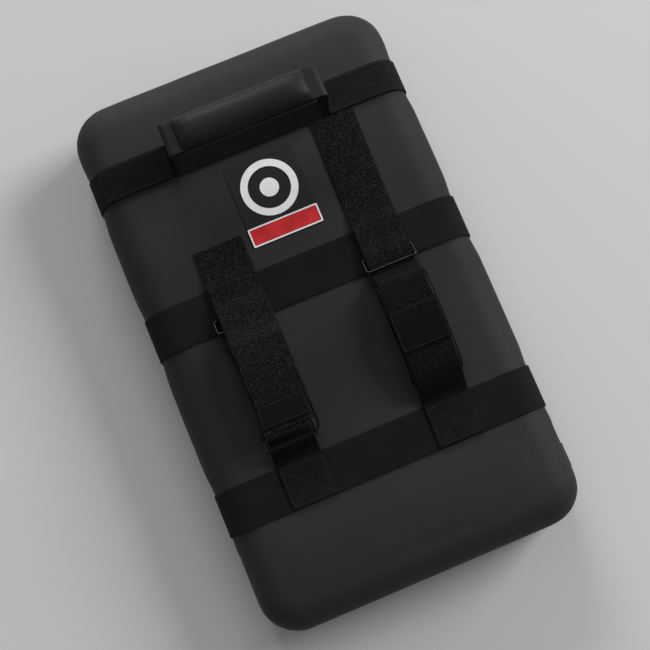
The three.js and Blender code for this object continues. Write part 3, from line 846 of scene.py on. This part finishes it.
def stitch_parts(points, normals, pitch=3.3 * MM, radius=0.34 * MM):
    """Single stitches along a line that lies on a surface, as (verts, faces)."""
    along = lengths(points)
    count = max(int(along[-1] / pitch), 1)
    starts = np.linspace(0, along[-1], count, endpoint=False)
    sides = 5
    stations = np.array([0.0, 0.18, 0.5, 0.82, 1.0])
    girth = np.array([0.5, 0.95, 1.0, 0.95, 0.5])
    rise = np.array([-0.9, 0.2, 0.55, 0.2, -0.9]) * radius
    angles = np.arange(sides) * 2 * math.pi / sides
    parts = []
    for start in starts:
        where = start + stations * pitch * 0.84
        line = at_distance(where, along, points)
        normal = unit(at_distance(start, along, normals))
        tangent = line[-1] - line[0]
        if np.linalg.norm(tangent) < 1e-7:
            continue
        side = unit(np.cross(unit(tangent), normal))
        rings = []
        for point, size, lift in zip(line, girth, rise):
            turn = np.cos(angles)[:, None] * side + np.sin(angles)[:, None] * normal
            rings.append(point + normal * lift + turn * size * radius)
        parts.append((np.concatenate(rings), capped_faces(len(stations), sides)))
    return parts


def add_stitches(name, lines, body, material, slot="webbing", **sizes):
    parts = []
    for points, normals in lines:
        if len(points) > 1:
            parts += stitch_parts(points, normals, **sizes)
    return finish_piece(add_object(name, *join_parts(parts)), body, material)


def sewn_box(low, high, tree, inset=2.5 * MM, cross=True):
    """Stitched lines of a box and its two diagonals, dropped on to a surface."""
    (x0, y0), (x1, y1) = np.array(low) + inset, np.array(high) - inset
    corners = [(x0, y0), (x1, y0), (x1, y1), (x0, y1), (x0, y0)]
    runs = [corners]
    if cross:
        runs += [[(x0, y0), (x1, y1)], [(x0, y1), (x1, y0)]]
    return laid(runs, tree)


def on_walls(z, out, tree, probes=(0.0,)):
    """An outline at one height, laid on the swollen wall and moved outwards, and the wall's normals."""
    points, normals = level_outline(0, z)
    reach = np.zeros(len(points))
    for probe in probes:
        for i, (point, normal) in enumerate(zip(points, normals)):
            start = Vector(point + normal * 20 * MM + UP * probe)
            hit = tree.ray_cast(start, Vector(-normal))[0]
            reach[i] += 0 if hit is None else np.dot(np.array(hit) - point, normal)
    reach = smoothed(np.tile(reach, (2, 1)).T / len(probes), 3)[:, 0]
    return points + normals * (reach + out)[:, None], normals


def add_cover_seams(skins):
    """Piping in the front seam, and a line of stitches on each side of both seams."""
    tree = surface_of(*skins)
    beside = (-5 * MM, 5 * MM)
    for name, seam, out, radius in (
        ("front_piping", FRONT_SEAM, 0.6 * MM, 1.9 * MM), ("rear_seam_fold", REAR_SEAM, -0.5 * MM, 0.9 * MM),
    ):
        cord = add_object(name, *tube(on_walls(seam, out, tree, beside)[0], radius, closed=True))
        finish_piece(cord, "pad", PAD_LEATHER)
    for name, seam in (("front_seam_stitches", FRONT_SEAM), ("rear_seam_stitches", REAR_SEAM)):
        lines = []
        for side in (-1, 1):
            points, normals = on_walls(seam + side * 4 * MM, -0.25 * MM, tree)
            lines.append((np.concatenate([points, points[:1]]), np.concatenate([normals, normals[:1]])))
        add_stitches(name, lines, "pad", THREAD_DARK, "leatherette", pitch=4 * MM)


# ---- webbing bands --------------------------------------------------------------------------

def at_y(plan, y=0.0):
    """A section's (x, z) points as places at one y."""
    return np.stack([plan[:, 0], np.full(len(plan), y), plan[:, 1]], axis=1)


def add_band(node, name, band, offset, ends=None):
    """Webbing that follows the pad's section, or only the part of it between two values of x."""
    y, width = BANDS[band]
    section = section_path(offset + WEBBING / 2)
    if ends is not None:
        x, z = section.T
        section = section[(x >= ends[0]) & (x <= ends[1]) & (z > REAR_Z - 40 * MM)]
    strap = add_strap(name, at_y(section, y), ALONG_Y, width, WEBBING, flip=True)
    return finish_piece(strap, "pad", BAND, (node,))


def add_bands():
    return {name: add_band(name, name.replace("band", "webbing_band"), name, GAP) for name in BANDS}


def add_anchors():
    """The handle's webbing ends, each sewn to the top band with a crossed box."""
    y, width = BANDS["top_band"]
    for label in ("left", "right"):
        node = f"handle_anchor_{label}"
        low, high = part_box(node)
        anchor = add_band(node, f"handle_end_{label}", "top_band", 2 * GAP + WEBBING, (low.x, high.x))
        corners = (low.x + 1 * MM, y - width / 2), (high.x - 1 * MM, y + width / 2)
        lines = sewn_box(*corners, surface_of(anchor))
        add_stitches(f"handle_end_stitches_{label}", lines, "pad", THREAD)


# ---- straps that follow the frame -----------------------------------------------------------

def side_line(node, spacing=1.5 * MM):
    """The middle line of a strap's CAD solid in its side view, as (y, z) points from low y to high y."""
    tree = surface_of(nodes[node])
    low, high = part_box(node)
    x = (low.x + high.x) / 2
    spare = 0.4 * MM
    line = []
    for y in np.arange(low.y + spare, high.y - spare, 0.5 * MM):
        below = tree.ray_cast(Vector((x, y, low.z - 0.1)), Vector((0, 0, 1)))[0]
        above = tree.ray_cast(Vector((x, y, high.z + 0.1)), Vector((0, 0, -1)))[0]
        if below is not None and above is not None:
            line.append((y, (below.z + above.z) / 2))
    line = np.array([(low.y, line[0][1]), *line, (high.y, line[-1][1])])
    return resampled(smoothed(line, 8), spacing)


def on_side(line, x):
    """A side view's (y, z) points as places at one x."""
    return np.stack([np.full(len(line), x), line[:, 0], line[:, 1]], axis=1)


def fuzz(seed, height=0.45 * MM, scale=2.6 * MM):
    """Uneven height of a brushed pile."""
    def lift(u, v):
        points = np.stack([u, np.broadcast_to(v, len(u)), np.zeros(len(u))], axis=1)
        return height * (0.5 + 0.5 * ripple(points, scale, seed))
    return lift


def curls(path, across, half_width, base, seed, density=0.42e6):
    """Tiny loops of yarn scattered over a strap's outer face, as (verts, faces)."""
    rng = np.random.default_rng(seed)
    along = lengths(path)
    normals = path_frames(path, across)
    count = int(density * along[-1] * 2 * half_width)
    u = rng.uniform(along[0], along[-1], count)
    v = rng.uniform(-half_width, half_width, count)
    place = at_distance(u, along, path)
    normal = unit(at_distance(u, along, normals))
    place = place + v[:, None] * across + normal * base
    forward = np.cross(normal, across)
    heading = rng.uniform(0, math.pi, count)[:, None]
    lean = np.cos(heading) * across + np.sin(heading) * forward
    side = np.cross(normal, lean)
    radius = rng.uniform(0.5, 0.95, count) * MM
    yarn = 0.11 * MM
    steps, sides = 5, 3
    rings = []
    for angle in np.radians(np.linspace(0, 180, steps)):
        outwards = lean * math.cos(angle) + normal * math.sin(angle)
        for turn in np.arange(sides) * 2 * math.pi / sides:
            reach = radius[:, None] + yarn * math.cos(turn)
            rings.append(place + outwards * reach + side * yarn * math.sin(turn))
    verts = np.stack(rings, axis=1).reshape(-1, 3)
    one = capped_faces(steps, sides)
    size = steps * sides
    return verts, [tuple(i + n * size for i in face) for n in range(count) for face in one]


def strap_piece(name, path, width, thickness, columns=18, lift=None, pile=None):
    """A strap that runs along Y, and the curls of its pile.

    pile is (from, to, half width, seed), from and to as shares of the path.
    """
    strap = add_strap(name, path, ALONG_X, width, thickness, columns, lift=lift)
    if pile is None:
        return strap, None
    start, stop, half_width, seed = pile
    part = path[int(start * (len(path) - 1)):int(stop * (len(path) - 1)) + 1]
    yarn = curls(part, ALONG_X, half_width, thickness / 2 + 0.1 * MM, seed)
    return strap, add_object(name + "_curls", *yarn)


def merged(obj, other):
    """Adds other's mesh to obj and removes other."""
    mesh = bmesh.new()
    mesh.from_mesh(obj.data)
    mesh.from_mesh(other.data)
    mesh.to_mesh(obj.data)
    mesh.free()
    bpy.data.objects.remove(other)
    shade_smooth(obj.data)


def give_faces(obj, index, chosen):
    """Sets the material of the faces whose centre passes a test."""
    for polygon in obj.data.polygons:
        if chosen(polygon.center):
            polygon.material_index = index


def drifted(obj, shift):
    """Moves each point of a strap sideways by a shift for its y, as the CAD straps are moved."""
    co = coordinates(obj)
    co[:, 0] += shift(co[:, 1])
    set_coordinates(obj, co)


LEFT_X = middle("left_upper_ring", 0)
RIGHT_X = middle("right_ring", 0)
STRAP_WIDTH = extent("left_strap_fold", 0)
TAIL_WIDTH = 56 * MM
CUFF_WIDTH = 57.4 * MM
PANEL_WIDTH = 55 * MM
RING_BAR_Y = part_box("right_strap_tail")[0].y
LOWER_BAR_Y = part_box("left_strap_tail")[0].y
RIGHT_SLANT = 0.023
TAIL_DRIFT = 6.2 * MM
CUFF_DRIFT = 5.5 * MM


def right_drift(y):
    return RIGHT_SLANT * (y - RING_BAR_Y)


def tail_drift(y):
    return TAIL_DRIFT * smoothstep(LOWER_BAR_Y - 4 * MM, LOWER_BAR_Y + 30 * MM, y)


def cuff_drift(y):
    return CUFF_DRIFT * (1 - smoothstep(RING_BAR_Y - 36 * MM, RING_BAR_Y - 8 * MM, y))


def left_drift(y):
    return cuff_drift(y) * smoothstep(LOWER_BAR_Y - 4 * MM, LOWER_BAR_Y + 24 * MM, y)


def moved_lines(lines, shift):
    """Lines of (x, y) points, moved sideways as a strap is."""
    fine = [resampled(line, 2 * MM) for line in lines]
    return [[(x + float(shift(np.array(y))), y) for x, y in line] for line in fine]


WIRE_RADIUS = 1.6 * MM


def ring_bars(node, pivot_high):
    """The centres (y, z) of a ring's held bar and free bar."""
    low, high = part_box(node)
    near = np.array([high.y - WIRE_RADIUS, low.z + WIRE_RADIUS])
    far = np.array([low.y + WIRE_RADIUS, high.z - WIRE_RADIUS])
    if not pivot_high:
        near, far = np.array([low.y + WIRE_RADIUS, low.z + WIRE_RADIUS]), high.yz - Vector((WIRE_RADIUS,) * 2)
    return np.array(near), np.array(far)


def add_ring(node, pivot_high):
    """A rectangle of round wire with bent corners."""
    near, far = ring_bars(node, pivot_high)
    bend = 2.4 * MM
    half = extent(node, 0) / 2 - WIRE_RADIUS
    reach = np.linalg.norm(far - near)
    corners = [((half - bend, bend), -90), ((half - bend, reach - bend), 0)]
    corners += [((bend - half, reach - bend), 90), ((bend - half, bend), 180)]
    plan = np.concatenate([arc(centre, bend, start, start + 90, 8) for centre, start in corners])
    x, up = resampled_loop(plan, 0.9 * MM).T
    direction = (far - near) / reach
    points = np.stack([middle(node, 0) + x, near[0] + up * direction[0], near[1] + up * direction[1]], axis=1)
    wire = add_object(node.replace("ring", "wire_ring"), *tube(points, WIRE_RADIUS, 14, closed=True))
    finish_piece(fix_normals(wire), node, WIRE, (node,))


def add_keeper(node, ring):
    """Webbing folded round a ring's held bar and sewn to the middle band with close rows of thread."""
    bar, _ = ring_bars(ring, True)
    low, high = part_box(node)
    thickness = 1.2 * MM
    bottom = low.z + thickness / 2
    top = bottom + thickness + GAP
    wrap = WIRE_RADIUS + GAP + thickness / 2
    side = [(high.y, top), (bar[0] + 12 * MM, top), *arc(bar, wrap, 75, 270, 16), (high.y, bottom)]
    line = smoothed(resampled(side, 0.7 * MM), 3)
    x = middle(node, 0)
    tape, _ = strap_piece(node.replace("keeper", "tape"), on_side(line, x), high.x - low.x, thickness)
    finish_piece(tape, "pad", STRAP_TAPE, (node,))
    rows = []
    for y in (high.y - 3 * MM, high.y - 7 * MM, bar[0] + 15 * MM, bar[0] + 11 * MM):
        rows.append([(low.x + 2 * MM, y), (high.x - 2 * MM, y)])
    for edge in (low.x + 2 * MM, high.x - 2 * MM):
        rows.append([(edge, bar[0] + 11 * MM), (edge, high.y - 3 * MM)])
    add_stitches(node.replace("keeper", "tape_stitches"), laid(rows, surface_of(tape)), "pad", THREAD)


def add_band_tacks():
    """Close rows of tacking across the middle band, beside the right-hand strap."""
    y, width = BANDS["middle_band"]
    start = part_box("right_ring_keeper")[1].x + 5 * MM
    rows = []
    for i in range(5):
        x = start + i * 4 * MM
        rows.append([(x + 1.5 * MM, y - width / 2 + 2 * MM), (x - 0.5 * MM, y + width / 2 - 2 * MM)])
    lines = laid(rows, surface_of(bands["middle_band"]))
    add_stitches("band_tacks_right", lines, "pad", THREAD_DARK, pitch=2.6 * MM, radius=0.25 * MM)


# ---- forearm straps -------------------------------------------------------------------------

def pillow_mesh(path, across, width, thickness, columns=15, ends=9 * MM):
    """A thin stuffed pad along path: crowned, with both faces meeting at a seam all round."""
    normals = path_frames(path, across)
    along = lengths(path)
    from_end = np.minimum(along, along[-1] - along)
    round_end = np.sqrt(np.clip(1 - (1 - np.clip(from_end / ends, 0, 1)) ** 2, 0, 1))
    half = width / 2 * (0.72 + 0.28 * round_end)
    shares = np.sin(np.linspace(-math.pi / 2, math.pi / 2, columns))
    crown = np.sqrt(1 - np.abs(shares) ** 2.6)
    profile = [(s, c) for s, c in zip(shares, crown)] + [(s, -c) for s, c in zip(shares, crown)][-2:0:-1]
    rings = []
    for share, height in profile:
        h = height * thickness / 2 * (0.12 + 0.88 * round_end)
        rings.append(path + (share * half)[:, None] * across + h[:, None] * normals)
    verts = np.stack(rings, axis=1).reshape(-1, 3)
    rim = [path + (side * half)[:, None] * across for side in (1, -1)]
    return verts, capped_faces(len(path), len(profile)), np.concatenate([rim[0], rim[1][::-1]])


def add_arm_pad(node, x, shift):
    """The padded cuff under an arm strap, with a bound edge and two sewn channels."""
    path = on_side(side_line(node, 2 * MM), x)
    verts, faces, rim = pillow_mesh(path, ALONG_X, CUFF_WIDTH - 2 * MM, 6 * MM)
    pad = fix_normals(add_object(node.replace("pad", "cuff"), verts, faces))
    subdivide(pad)
    co = coordinates(pad)
    channel = np.zeros(len(co))
    for offset in (-11 * MM, 11 * MM):
        channel += np.exp(-((co[:, 0] - x - offset) / (1.6 * MM)) ** 2)
    soft = ripple(co, 14 * MM, 3) * 0.25 * MM
    set_coordinates(pad, co + normals_of(pad) * (soft - 0.7 * MM * channel)[:, None])
    drifted(pad, shift)
    finish_piece(pad, "pad", PAD_LEATHER, (node,))
    edge = tube(resampled_loop(rim, 1.5 * MM), 1.0 * MM, closed=True)
    binding = add_object(node.replace("pad", "cuff_binding"), *edge)
    drifted(binding, shift)
    finish_piece(binding, "pad", STRAP_TAPE)


def add_panel(node, x, shift):
    """The loop that the strap runs through, sewn down along both sides."""
    low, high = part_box(node)

    def bulge(u, _):
        return 0.35 * MM * np.sin(np.clip(u / (high.y - low.y), 0, 1) * math.pi)

    name = node.replace("pad_panel", "strap_loop")
    panel, _ = strap_piece(name, on_side(side_line(node), x), PANEL_WIDTH, 1.2 * MM, lift=bulge)
    drifted(panel, shift)
    finish_piece(panel, "pad", PANEL_CLOTH, (node,))
    side, end = PANEL_WIDTH / 2 - 2.2 * MM, PANEL_WIDTH / 2 - 3 * MM
    rows = [[(x + e, low.y + 1.5 * MM), (x + e, high.y - 1.5 * MM)] for e in (-side, side)]
    rows += [[(x - end, y), (x + end, y)] for y in (low.y + 2 * MM, high.y - 2 * MM)]
    lines = laid(moved_lines(rows, shift), surface_of(panel), 1.5 * MM)
    add_stitches(name + "_stitches", lines, "pad", THREAD_DARK, slot="leatherette", pitch=2.8 * MM)


def add_right_strap():
    """The arched strap, with pile past both ends of its panel, sewn to the bottom band."""
    x, half = RIGHT_X, STRAP_WIDTH / 2
    line = side_line("right_arm_strap")
    low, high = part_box("right_pad_panel")
    pile_y = low.y - 24 * MM, high.y + 36 * MM
    shares = np.interp(pile_y, line[:, 0], np.linspace(0, 1, len(line)))
    inner = half - 1.5 * MM
    pile = (*shares, inner, 11)
    strap, loops = strap_piece("right_arm_webbing", on_side(line, x), STRAP_WIDTH, STRAP, pile=pile)
    finish_piece(strap, "pad", STRAP_TAPE, ("right_arm_strap",), (STRAP_PILE, BAND))
    give_faces(strap, 1, lambda c: pile_y[0] < c.y < pile_y[1] and abs(c.x - x) < inner)
    low_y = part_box("right_arm_strap")[0].y
    give_faces(strap, 2, lambda c: c.y < BOTTOM_BAND_EDGE)
    drifted(strap, right_drift)
    drifted(loops, right_drift)
    foot = float(right_drift(low_y + 23 * MM))
    corners = (x - half + foot, low_y), (x + half + foot, BOTTOM_BAND_EDGE - 2 * MM)
    lines = sewn_box(*corners, surface_of(strap))
    add_stitches("right_strap_stitches", lines, "pad", THREAD_DARK)
    finish_piece(loops, "pad", STRAP_PILE)


def add_tail(node, name, x, width, edge, seed, shift):
    """A strap's loose end: loop pile between flat woven edges."""
    line = side_line(node, 1.3 * MM)
    fluff = fuzz(seed)
    inner = width / 2 - edge

    def lift(u, v):
        return np.where(np.abs(v) < inner, fluff(u, v), 0)

    strap, loops = strap_piece(name, on_side(line, x), width, STRAP, 34, lift, (0.0, 1.0, inner, seed))
    give_faces(strap, 1, lambda c: abs(c.x - x) < inner)
    give_faces(loops, 1, lambda c: True)
    merged(strap, loops)
    drifted(strap, shift)
    finish_piece(strap, None, SELVEDGE, (node,), (PILE,))
    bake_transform(strap)


def add_tails():
    add_tail("right_strap_tail", "right_tail_pile", RIGHT_X, STRAP_WIDTH, edge=3 * MM, seed=21,
             shift=right_drift)
    add_tail("left_strap_tail", "left_tail_pile", LEFT_X, TAIL_WIDTH, edge=0.4 * MM, seed=22,
             shift=tail_drift)


def add_hooks():
    node = "left_hook_patch"
    low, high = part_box(node)
    half = TAIL_WIDTH / 2 - 1 * MM
    path = on_side(side_line(node, 1 * MM), LEFT_X)
    patch, _ = strap_piece("left_tail_hooks", path, 2 * half, 0.8 * MM, 30, fuzz(5, 0.25 * MM, 1.4 * MM))
    drifted(patch, tail_drift)
    finish_piece(patch, "left_tail", HOOKS, (node,))
    centre = LEFT_X + float(tail_drift((low.y + high.y) / 2))
    lines = sewn_box((centre - half, low.y), (centre + half, high.y), surface_of(patch), cross=False)
    add_stitches("left_tail_hook_stitches", lines, "left_tail", THREAD_DARK, slot="hook_tape", pitch=2.8 * MM)


def add_left_strap():
    node = "left_arm_strap"
    strap, _ = strap_piece("left_arm_webbing", on_side(side_line(node), LEFT_X), STRAP_WIDTH, STRAP)
    drifted(strap, left_drift)
    finish_piece(strap, "pad", STRAP_TAPE, (node,))


def add_fold():
    """The strap's turn round the adjuster ring, with pile on its outside."""
    node = "left_strap_fold"
    _, bar = ring_bars("left_lower_ring", False)
    inner, outer = WIRE_RADIUS + GAP, 5.5 * MM
    path = on_side(arc(bar, (inner + outer) / 2, 75, 290, 26), middle(node, 0))
    pile = (0.0, 1.0, STRAP_WIDTH / 2 - 2 * MM, 31)
    fold, loops = strap_piece("left_strap_turn", path, STRAP_WIDTH, outer - inner, 30, fuzz(6), pile)
    merged(fold, loops)
    finish_piece(fold, "left_lower_ring", FOLD_PILE, (node,))


def add_lower_webbing():
    """Webbing that rises from the bottom band, turns round the adjuster's lower bar and tucks under."""
    node = "left_ring_webbing"
    bar, _ = ring_bars("left_lower_ring", False)
    low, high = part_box(node)
    half = WEBBING / 2
    wrap = WIRE_RADIUS + GAP + half
    edge, sewn = BOTTOM_BAND_EDGE, low.z + half
    side = [(low.y, sewn), (edge, sewn), (edge + 5 * MM, REAR_Z + 4 * MM)]
    side += [(edge + 11 * MM, REAR_Z + 9.5 * MM), (bar[0] - wrap - 0.8 * MM, bar[1] - 6 * MM)]
    side += [*arc(bar, wrap, 180, -9, 14), (bar[0] + wrap - 0.8 * MM, bar[1] - 6.5 * MM)]
    line = smoothed(resampled(side, 0.7 * MM), 3)
    x = middle(node, 0)
    tape, _ = strap_piece("left_adjuster_webbing", on_side(line, x), high.x - low.x, WEBBING)
    finish_piece(tape, "pad", STRAP_TAPE, (node,), (BAND,))
    give_faces(tape, 1, lambda c: c.y < edge)
    width = (high.x - low.x) / 2
    lines = sewn_box((x - width, low.y), (x + width, edge - 2 * MM), surface_of(tape))
    add_stitches("left_adjuster_stitches", lines, "pad", THREAD)


# ---- handle ---------------------------------------------------------------------------------

HINGE = Vector((0, BANDS["top_band"][0], 107.9 * MM))
LEAN = math.radians(5)
LEANING = Matrix.Translation(HINGE) @ Matrix.Rotation(-LEAN, 4, "X")
GRIP_UP = 52.1 * MM
LEG_TOP = 34.1 * MM
LEG_X = 88.25 * MM
GRIP_HALF = 75 * MM
GRIP_WIDTH = 39 * MM
GRIP_HEIGHT = 34 * MM


def leaning(points):
    """Points from the handle's own frame, whose origin is the hinge, to the row frame."""
    points = np.asarray(points, float)
    return points @ np.array(LEANING.to_3x3()).T + np.array(LEANING.translation)


def turned(vector):
    return np.array(LEANING.to_3x3() @ Vector(vector))


def add_handle_webbing():
    """The loop of webbing through the grip, which flares to full width outside it."""
    bend = 5 * MM
    width = BANDS["top_band"][1]
    left = arc((-LEG_X + bend, GRIP_UP - bend), bend, 180, 90, 8)
    right = arc((LEG_X - bend, GRIP_UP - bend), bend, 90, 0, 8)
    plan = resampled([(-LEG_X, LEG_TOP), *left, *right, (LEG_X, LEG_TOP)], 1.6 * MM)
    widths = 24 * MM + (width - 24 * MM) * smoothstep(GRIP_HALF - 9 * MM, GRIP_HALF - 1 * MM, abs(plan[:, 0]))
    loop = add_strap("handle_loop", at_y(plan), ALONG_Y, widths, WEBBING, flip=True, place=leaning)
    finish_piece(loop, "handle", HANDLE_TAPE_PAINTED_SHADE, ("handle_webbing",))
    for side, label in ((-1, "left"), (1, "right")):
        foot = arc((side * (LEG_X + 4 * MM), 3.4 * MM), 4 * MM, 270, 180 if side > 0 else 360, 6)
        plan = resampled([*foot, (side * LEG_X, LEG_TOP)], 1.5 * MM)
        name = f"handle_riser_{label}"
        leg = add_strap(name, at_y(plan), ALONG_Y, width, WEBBING, flip=side > 0, place=leaning)
        finish_piece(leg, None, HANDLE_TAPE_PAINTED_SHADE, (f"handle_leg_{label}",))
        leaning([0, 0, 1 * MM])
        leaning([0, 0, LEG_TOP - 3 * MM])
        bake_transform(leg)


def grip_mesh(half_length, width, height, pinch, columns=40, rows=61):
    """A stuffed roll along X whose height falls to a flat sewn lip at both ends."""
    x = half_length * np.sin(np.linspace(-math.pi / 2, math.pi / 2, rows))
    angles = np.arange(columns) * 2 * math.pi / columns
    rings = []
    for place in x:
        share = abs(place) / half_length
        tall = height / 2 * max((1 - share ** pinch) ** (1 / 2.2), 0.1)
        wide = width / 2 * (1 - 0.03 * share ** 8)
        y = wide * np.sign(np.cos(angles)) * np.abs(np.cos(angles)) ** 0.85
        z = tall * np.sign(np.sin(angles)) * np.abs(np.sin(angles)) ** 0.85
        rings.append(np.stack([np.full(columns, place), y, z], axis=1))
    return np.concatenate(rings), capped_faces(rows, columns)


def add_grip():
    """The padded grip: cloth-blown leatherette over foam, closed with a lapped seam on its pad side."""
    shape = grip_mesh(GRIP_HALF, GRIP_WIDTH - 1 * MM, GRIP_HEIGHT - 3 * MM, 9)
    grip = fix_normals(add_object("handle_grip", *shape))
    remesh(grip, 3 * MM)
    start = coordinates(grip)
    held = smoothstep(GRIP_HALF - 8 * MM, GRIP_HALF - 3 * MM, abs(start[:, 0]))
    inflate(grip, held, 4, 1.8 * MM)
    subdivide(grip)
    co = coordinates(grip)
    near_end = smoothstep(GRIP_HALF - 24 * MM, GRIP_HALF - 6 * MM, abs(co[:, 0]))
    angle = np.arctan2(co[:, 2], co[:, 1])
    pleats = np.sin(angle * 11 + 3 * ripple(co, 30 * MM, 4)) * near_end * 0.15 * MM
    soft = ripple(co * (0.4, 1, 1), 16 * MM, 5) * 0.3 * MM
    set_coordinates(grip, leaning(co + normals_of(grip) * (pleats + soft)[:, None] + UP * GRIP_UP))
    finish_piece(grip, "handle", GRIP_LEATHER_PAINTED_SHADE, ("handle_cover",))

    lip_y = GRIP_WIDTH / 2 - 0.3 * MM
    for side, label in ((-1, "lower"), (1, "upper")):
        x = np.linspace(-GRIP_HALF, GRIP_HALF, 60)
        path = leaning([(each, side * lip_y, GRIP_UP - 1.5 * MM) for each in x])
        lip = add_strap(f"handle_grip_lip_{label}", path, turned(ALONG_Y), 4 * MM, 1.6 * MM, 8, flip=True)
        finish_piece(lip, "handle", GRIP_LEATHER_PAINTED_SHADE)
    for side, label in ((-1, "left"), (1, "right")):
        bend = arc((LEG_X - 5 * MM, GRIP_UP - 5 * MM), 6.6 * MM, 90, 38, 6)
        plan = resampled([(GRIP_HALF - 5 * MM, GRIP_UP + 1.6 * MM), *bend], 1 * MM)
        sizes = (GRIP_WIDTH - 1 * MM, 1 * MM, 14)
        path = at_y(plan * (side, 1))
        flange = add_strap(f"handle_grip_flange_{label}", path, ALONG_Y, *sizes, flip=side > 0, place=leaning)
        finish_piece(flange, "handle", GRIP_LEATHER_PAINTED_SHADE)
    lines = []
    for side in (-1, 1):
        x = side * (GRIP_HALF - 1.8 * MM)
        points = leaning([(x, y, GRIP_UP + 2.2 * MM) for y in np.linspace(-16 * MM, 16 * MM, 17)])
        lines.append((points, np.tile(turned(UP), (len(points), 1))))
    add_stitches("handle_grip_stitches", lines, "handle", THREAD, slot="leatherette", pitch=2.8 * MM)


def add_grip_foam():
    verts, faces = grip_mesh(GRIP_HALF - 3 * MM, GRIP_WIDTH - 8 * MM, GRIP_HEIGHT - 8 * MM, 18, 28, 31)
    co = verts + UP * GRIP_UP
    core = fix_normals(add_object("handle_grip_foam", leaning(co), faces))
    subdivide(core)
    finish_piece(core, "handle", EVA, ("handle_foam",))


# ---- badge and zipper -----------------------------------------------------------------------

def add_badge():
    """The badge keeps its CAD shapes, with printed finishes."""
    finishes = {BADGE_BLACK: ("base",), BADGE_WHITE: ("circle", "dot", "bar_rim"), BADGE_RED: ("bar",)}
    for material, parts in finishes.items():
        for part in parts:
            materials = nodes[f"badge_{part}"].data.materials
            materials.clear()
            materials.append(material)


def bevelled(node, name, material, body, width=0.3 * MM):
    """A CAD node's own shape with its edges eased."""
    obj = copied(node, name)
    mesh = bmesh.new()
    mesh.from_mesh(obj.data)
    bmesh.ops.remove_doubles(mesh, verts=mesh.verts, dist=1e-5)
    bmesh.ops.dissolve_limit(mesh, angle_limit=math.radians(3), verts=mesh.verts, edges=mesh.edges)
    mesh.to_mesh(obj.data)
    mesh.free()
    modified(obj, "BEVEL", width=width, segments=3, limit_method="ANGLE")
    shade_smooth(obj.data, False)
    return finish_piece(obj, body, material, (node,))


def lower_end(offset, z):
    """The pad's outline round its lower end, up to the top of the zipper on both sides."""
    points, _ = level_outline(-offset, z, 2 * MM)
    points = np.roll(points, -int(np.argmax(points[:, 1])), axis=0)
    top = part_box("zipper_tape")[1].y
    points = points[points[:, 1] < top]
    ends = [(side * (HALF_WIDTH + offset), top, z) for side in (-1, 1)]
    return np.array([ends[0], *points, ends[1]])


def add_zipper():
    z = middle("zipper_tape", 2)
    tape_width = extent("zipper_tape", 2)
    path = lower_end(GAP + 0.3 * MM, z)
    tape = add_strap("zipper_cloth_tape", path, UP, tape_width, 0.6 * MM, 14)
    finish_piece(tape, "pad", BAND, ("zipper_tape",))

    coil_low, coil_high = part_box("zipper_coil")
    out = coil_high.x - HALF_WIDTH - 0.75 * MM
    line = resampled(lower_end(out, z), 0.8 * MM)
    line = line[line[:, 1] < coil_high.y]
    tangents = unit(np.gradient(line, axis=0))
    outwards = np.cross(tangents, UP)
    parts = []
    half = (coil_high.z - coil_low.z) / 2 - 0.3 * MM
    for i in range(0, len(line) - 1, 2):
        for side, shift in ((-1, 0), (1, 1)):
            point, normal, tangent = line[i + shift], outwards[i + shift], tangents[i + shift]
            ends = [(half, -0.35), (half * 0.7, 0.1), (0.2 * MM, 0.3), (-0.5 * MM, 0.1), (-0.6 * MM, -0.4)]
            points = [point + UP * side * a + normal * b * MM for a, b in ends]
            parts.append(tube(np.array(points) + tangent * 0.1 * MM, 0.42 * MM, 5))
    coil = fix_normals(add_object("zipper_coil_turns", *join_parts(parts)))
    finish_piece(coil, "pad", COIL, ("zipper_coil",))
    lines = []
    for side in (-1, 1):
        points = lower_end(GAP + 0.6 * MM, z + side * (tape_width / 2 - 2.5 * MM))
        normals = np.cross(unit(np.gradient(points, axis=0)), UP)
        lines.append((points, normals))
    add_stitches("zipper_stitches", lines, "pad", THREAD_DARK, slot="zipper_coil", pitch=3.6 * MM)
    for label in ("left", "right"):
        bevelled(f"zipper_stop_{label}", f"zipper_end_{label}", ZIP_METAL, "pad")
    bevelled("zipper_slider", "zipper_slider_body", ZIP_METAL, "zipper_slider", 0.5 * MM)
    bevelled("zipper_pull", "zipper_pull_tab", ZIP_METAL, "zipper_pull")
    low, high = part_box("zipper_pull")
    ribs = []
    for i in range(5):
        y = low.y + (4 + 2 * i) * MM
        ends = [(high.x, y, low.z + 1.2 * MM), (high.x, y, high.z - 1.2 * MM)]
        ribs.append(tube(resampled(ends, 1 * MM), 0.35 * MM, 8))
    raised = add_object("zipper_pull_ribs", *join_parts(ribs))
    finish_piece(raised, "zipper_pull", ZIP_METAL)


# ---- assembly -------------------------------------------------------------------------------

add_camera()
add_studio()
skins = add_cover()
add_foams()
add_cover_seams(skins)
bands = add_bands()
add_anchors()
add_badge()
add_handle_webbing()
add_grip_foam()
add_grip()
for ring, pivot_high in (("left_upper_ring", True), ("right_ring", True), ("left_lower_ring", False)):
    add_ring(ring, pivot_high)
add_keeper("left_ring_keeper", "left_upper_ring")
add_keeper("right_ring_keeper", "right_ring")
add_band_tacks()
add_arm_pad("left_arm_pad", LEFT_X, cuff_drift)
add_arm_pad("right_arm_pad", RIGHT_X, right_drift)
add_left_strap()
add_right_strap()
add_panel("left_pad_panel", LEFT_X, left_drift)
add_panel("right_pad_panel", RIGHT_X, right_drift)
add_lower_webbing()
add_fold()
add_tails()
add_hooks()
add_zipper()
